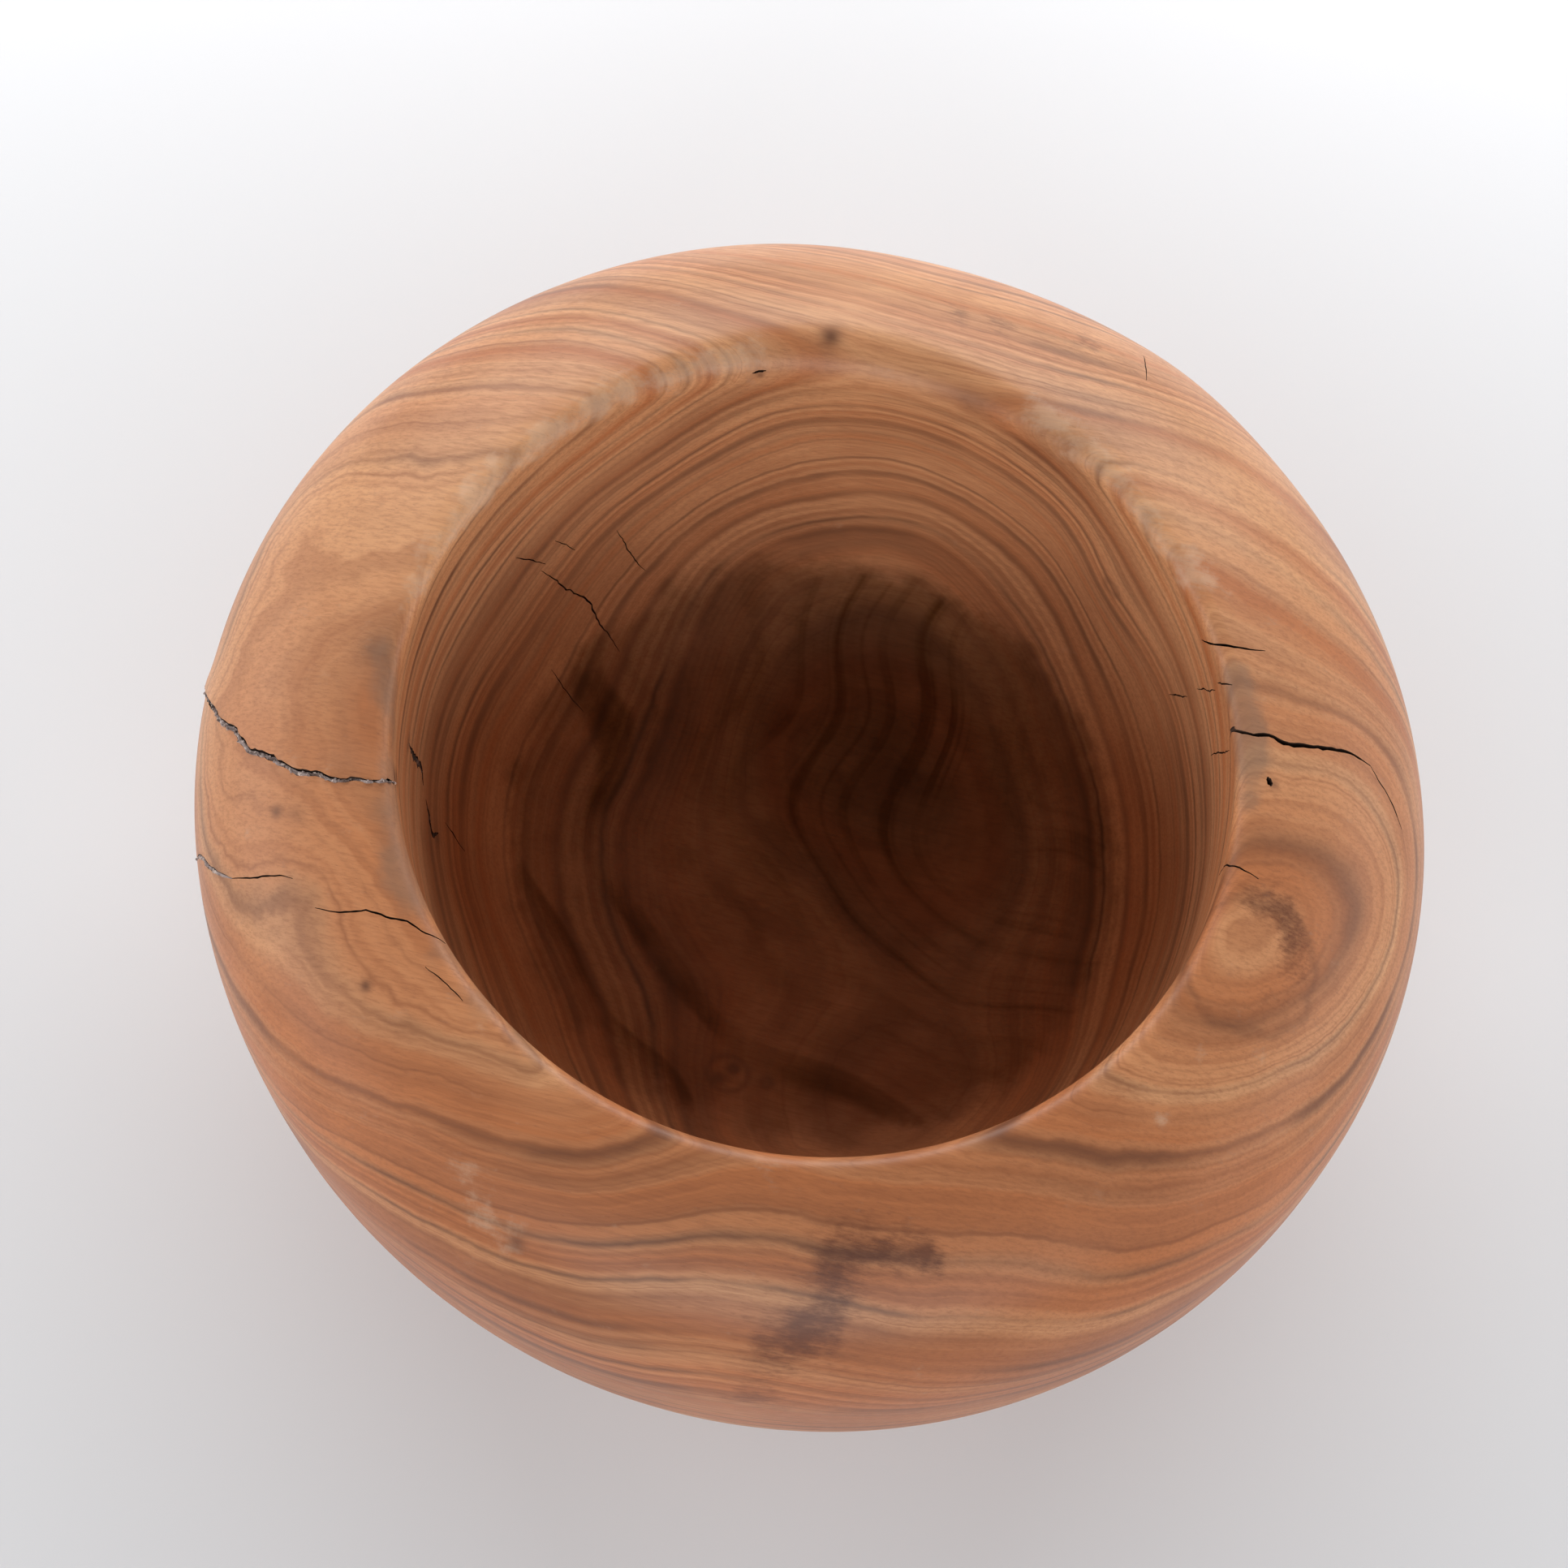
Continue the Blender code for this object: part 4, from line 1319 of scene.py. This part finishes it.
def filler_tree():
    tree = bpy.data.node_groups.new("filler", "GeometryNodeTree")
    tree.interface.new_socket(name="Filler", in_out="OUTPUT", socket_type="NodeSocketGeometry")
    i = add_inputs(tree, (
        ("Bed", "NodeSocketGeometry", None),
        ("Lump Height", "NodeSocketFloat", 0.3),
        ("Lump Scale", "NodeSocketFloat", 0.8),
        ("Crumbs", "NodeSocketFloat", 2.0),
        ("Crumb Size", "NodeSocketFloat", 0.2),
        ("Seed", "NodeSocketInt", 1),
        ("Material", "NodeSocketMaterial", None),
    ))
    fine = wire(tree, "GeometryNodeSubdivideMesh", {"Mesh": i["Bed"], "Level": 2})
    spot = wire(tree, "GeometryNodeInputPosition")
    place = wire(tree, "ShaderNodeVectorMath", {0: spot, "Scale": 1.0 / MM}, operation="SCALE")
    top = wire(tree, "GeometryNodeInputNamedAttribute", {"Name": "top"}, data_type="FLOAT")
    lumps = wire(tree, "ShaderNodeTexNoise", {"Vector": place, "Scale": i["Lump Scale"], "Detail": 4.0})
    push = calc(tree, "MULTIPLY", calc(tree, "SUBTRACT", lumps, 0.5), i["Lump Height"])
    push = calc(tree, "MULTIPLY", calc(tree, "MULTIPLY", push, top), LUMP_GAIN * MM)
    normal = wire(tree, "GeometryNodeInputNormal")
    offset = wire(tree, "ShaderNodeVectorMath", {0: normal, "Scale": push}, operation="SCALE")
    lumpy = wire(tree, "GeometryNodeSetPosition", {"Geometry": fine, "Offset": offset})
    amount = calc(tree, "MULTIPLY", calc(tree, "MULTIPLY", i["Crumbs"], top), 1.0 / (MM * MM))
    settings = {"Mesh": lumpy, "Density": amount, "Seed": i["Seed"]}
    points = wire(tree, "GeometryNodeDistributePointsOnFaces", settings)
    ball_size = calc(tree, "MULTIPLY", i["Crumb Size"], MM)
    ball = wire(tree, "GeometryNodeMeshIcoSphere", {"Radius": ball_size, "Subdivisions": 2})
    values = {0: CRUMB_LOW, 1: CRUMB_HIGH, "Seed": i["Seed"]}
    scale = wire(tree, "FunctionNodeRandomValue", values, data_type="FLOAT_VECTOR")
    values = {0: (0.0, 0.0, 0.0), 1: FULL_TURN, "Seed": i["Seed"]}
    spin = wire(tree, "FunctionNodeRandomValue", values, data_type="FLOAT_VECTOR")
    settings = {"Points": points, "Instance": ball, "Rotation": spin, "Scale": scale}
    placed = wire(tree, "GeometryNodeInstanceOnPoints", settings)
    crumbs = wire(tree, "GeometryNodeRealizeInstances", {0: placed})
    joined = tree.nodes.new("GeometryNodeJoinGeometry")
    tree.links.new(lumpy, joined.inputs[0])
    tree.links.new(crumbs, joined.inputs[0])
    smooth = wire(tree, "GeometryNodeSetShadeSmooth", {0: joined.outputs[0]})
    named = wire(tree, "GeometryNodeSetMaterial", {"Geometry": smooth, "Material": i["Material"]})
    tree.links.new(named, tree.nodes.new("NodeGroupOutput").inputs[0])
    return tree


filler = filler_tree()
print("filler tree nodes:", len(filler.nodes))

# %% Filler materials
DUST_LOW = (0.11, 0.07, 0.058, 1.0)
DUST_GREY = (0.36, 0.28, 0.26, 1.0)
DUST_PALE = (0.66, 0.54, 0.48, 1.0)
PITCH_LOW = (0.02, 0.012, 0.009, 1.0)
PITCH_BROWN = (0.07, 0.038, 0.026, 1.0)
PITCH_PALE = (0.20, 0.13, 0.10, 1.0)
DUST_ROUGHNESS = 0.82
PITCH_ROUGHNESS = 0.6
SPECK_START = (9.0, 4.0, 2.0)
FILLER_BUMP = 0.4
FILLER_BUMP_DEPTH = 0.05


def paint_filler(material, low, middle, pale, roughness):
    tree = material.node_tree
    shader = tree.nodes["Principled BSDF"]
    place = object_place(tree)
    clumps = ramp(tree, noise(tree, place, 0.55, 3.0, 0.6), 0.38, 0.58)
    specks = ramp(tree, noise(tree, vec(tree, "ADD", place, SPECK_START), 1.6, 2.0), 0.54, 0.68)
    colour = mix(tree, specks, mix(tree, clumps, low, middle), pale)
    tree.links.new(colour, shader.inputs["Base Color"])
    shader.inputs["Roughness"].default_value = roughness
    grain = noise(tree, place, 5.0, 3.0, 0.6)
    settings = {"Strength": FILLER_BUMP, "Distance": FILLER_BUMP_DEPTH * MM, "Height": grain}
    bump = wire(tree, "ShaderNodeBump", settings, out="Normal")
    tree.links.new(bump, shader.inputs["Normal"])


dust = new_material("glue_and_dust")
pitch = new_material("dark_glue")
paint_filler(dust, DUST_LOW, DUST_GREY, DUST_PALE, DUST_ROUGHNESS)
paint_filler(pitch, PITCH_LOW, PITCH_BROWN, PITCH_PALE, PITCH_ROUGHNESS)
print("filler materials:", dust.name, pitch.name)

# %% Press the filler in
# Each filler: its crack, its height against the skin, its lumps, crumbs, material and slot
FILLERS = {
    "rim_crack_filler": ("rim_crack", 0.0, 0.36, 3.5, dust, "grey_filler"),
    "flank_crack_filler": ("flank_crack", 0.0, 0.32, 3.0, dust, "grey_filler"),
    "wall_crack_filler_upper": ("upper_wall_crack", -0.08, 0.22, 0.8, pitch, "dark_filler"),
    "wall_crack_filler_lower": ("lower_wall_crack", -0.08, 0.20, 0.8, pitch, "dark_filler"),
}
FILLER_DEPTH = 1.5
FIRST_SEED = 5
for number, (node, (crack, proud, lump, crumbs, material, slot)) in enumerate(FILLERS.items()):
    bed = filler_bed(node, crack_rings[crack], proud, FILLER_DEPTH)
    settings = {"Lump Height": lump, "Crumbs": crumbs, "Seed": FIRST_SEED + number, "Material": material}
    piece = plain_mesh(node, filler, settings, start=bed)
    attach(piece, "root")
    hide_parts(node)
    print(node, "faces:", len(piece.data.polygons))

# %% [markdown]
# ## Floor and light
#
# The bowl stands on a sheet of white paper inside a light tent. The paper is one large square, far
# bigger than the picture, so no edge of it shows. Soft panels stand round the bowl: a strong one
# behind it, weaker ones at the sides and a low one in front that reaches into the hollow. One more
# panel hangs over the paper behind the bowl and faces straight down, so the paper brightens
# towards the far edge without lighting the bowl. The air of the tent adds a little light from
# everywhere.

# %% The paper floor
FLOOR_HALF = 3.0
PAPER = (0.80, 0.81, 0.832, 1.0)
PAPER_ROUGHNESS = 0.9


def make_floor():
    corners = [(-1, -1), (1, -1), (1, 1), (-1, 1)]
    mesh = bpy.data.meshes.new("paper_floor")
    mesh.from_pydata([(x * FLOOR_HALF, y * FLOOR_HALF, 0.0) for x, y in corners], [], [(0, 1, 2, 3)])
    item = bpy.data.objects.new("paper_floor", mesh)
    bpy.context.scene.collection.objects.link(item)
    paper = new_material("paper")
    shader = paper.node_tree.nodes["Principled BSDF"]
    shader.inputs["Base Color"].default_value = PAPER
    shader.inputs["Roughness"].default_value = PAPER_ROUGHNESS
    mesh.materials.append(paper)
    return item


make_floor()
print("paper floor, metres across:", 2 * FLOOR_HALF)

# %% The soft panels
# Each panel: azimuth, elevation, distance (m), size (m) and power (W), aimed at the bowl
PANELS = {
    "back_panel": (90, 27, 0.72, (1.1, 0.28), 5.7),
    "left_panel": (180, 16, 0.75, (0.9, 0.28), 2.4),
    "right_panel": (0, 16, 0.75, (0.9, 0.28), 2.0),
    "front_panel": (-90, 28, 0.8, (0.9, 0.3), 3.9),
}
AIM_HEIGHT = 0.06
FAR_PANEL_PLACE = (0.0, 0.44, 0.24)
FAR_PANEL_SIZE = (1.2, 0.25)
FAR_PANEL_POWER = 2.1
FAR_PANEL_SPREAD = 120.0
AIR_LIGHT = 0.13


def soft_panel(name, place, size, power, facing):
    """A soft area light. A panel shines along its own -Z, so its Z points away from its target."""
    data = bpy.data.lights.new(name, "AREA")
    data.shape = "RECTANGLE"
    data.size, data.size_y = size
    data.energy = power
    item = bpy.data.objects.new(name, data)
    bpy.context.scene.collection.objects.link(item)
    item.location = place
    item.rotation_euler = facing.to_track_quat("Z", "Y").to_euler()
    return item


for name, (azimuth, elevation, distance, size, power) in PANELS.items():
    turn = math.radians(azimuth)
    rise = math.radians(elevation)
    towards = Vector((math.cos(turn) * math.cos(rise), math.sin(turn) * math.cos(rise), math.sin(rise)))
    soft_panel(name, towards * distance + Vector((0.0, 0.0, AIM_HEIGHT)), size, power, towards)
straight_down = Vector((0.0, 0.0, 1.0))
far_panel = soft_panel("far_panel", FAR_PANEL_PLACE, FAR_PANEL_SIZE, FAR_PANEL_POWER, straight_down)
far_panel.data.spread = math.radians(FAR_PANEL_SPREAD)
world = bpy.data.worlds.new("tent_air")
world.use_nodes = True
air = world.node_tree.nodes["Background"]
air.inputs["Color"].default_value = (1.0, 1.0, 1.0, 1.0)
air.inputs["Strength"].default_value = AIR_LIGHT
bpy.context.scene.world = world
bpy.context.scene.view_settings.view_transform = "Standard"
print("panels:", len(PANELS) + 1, "total watts:", sum(v[4] for v in PANELS.values()) + FAR_PANEL_POWER)
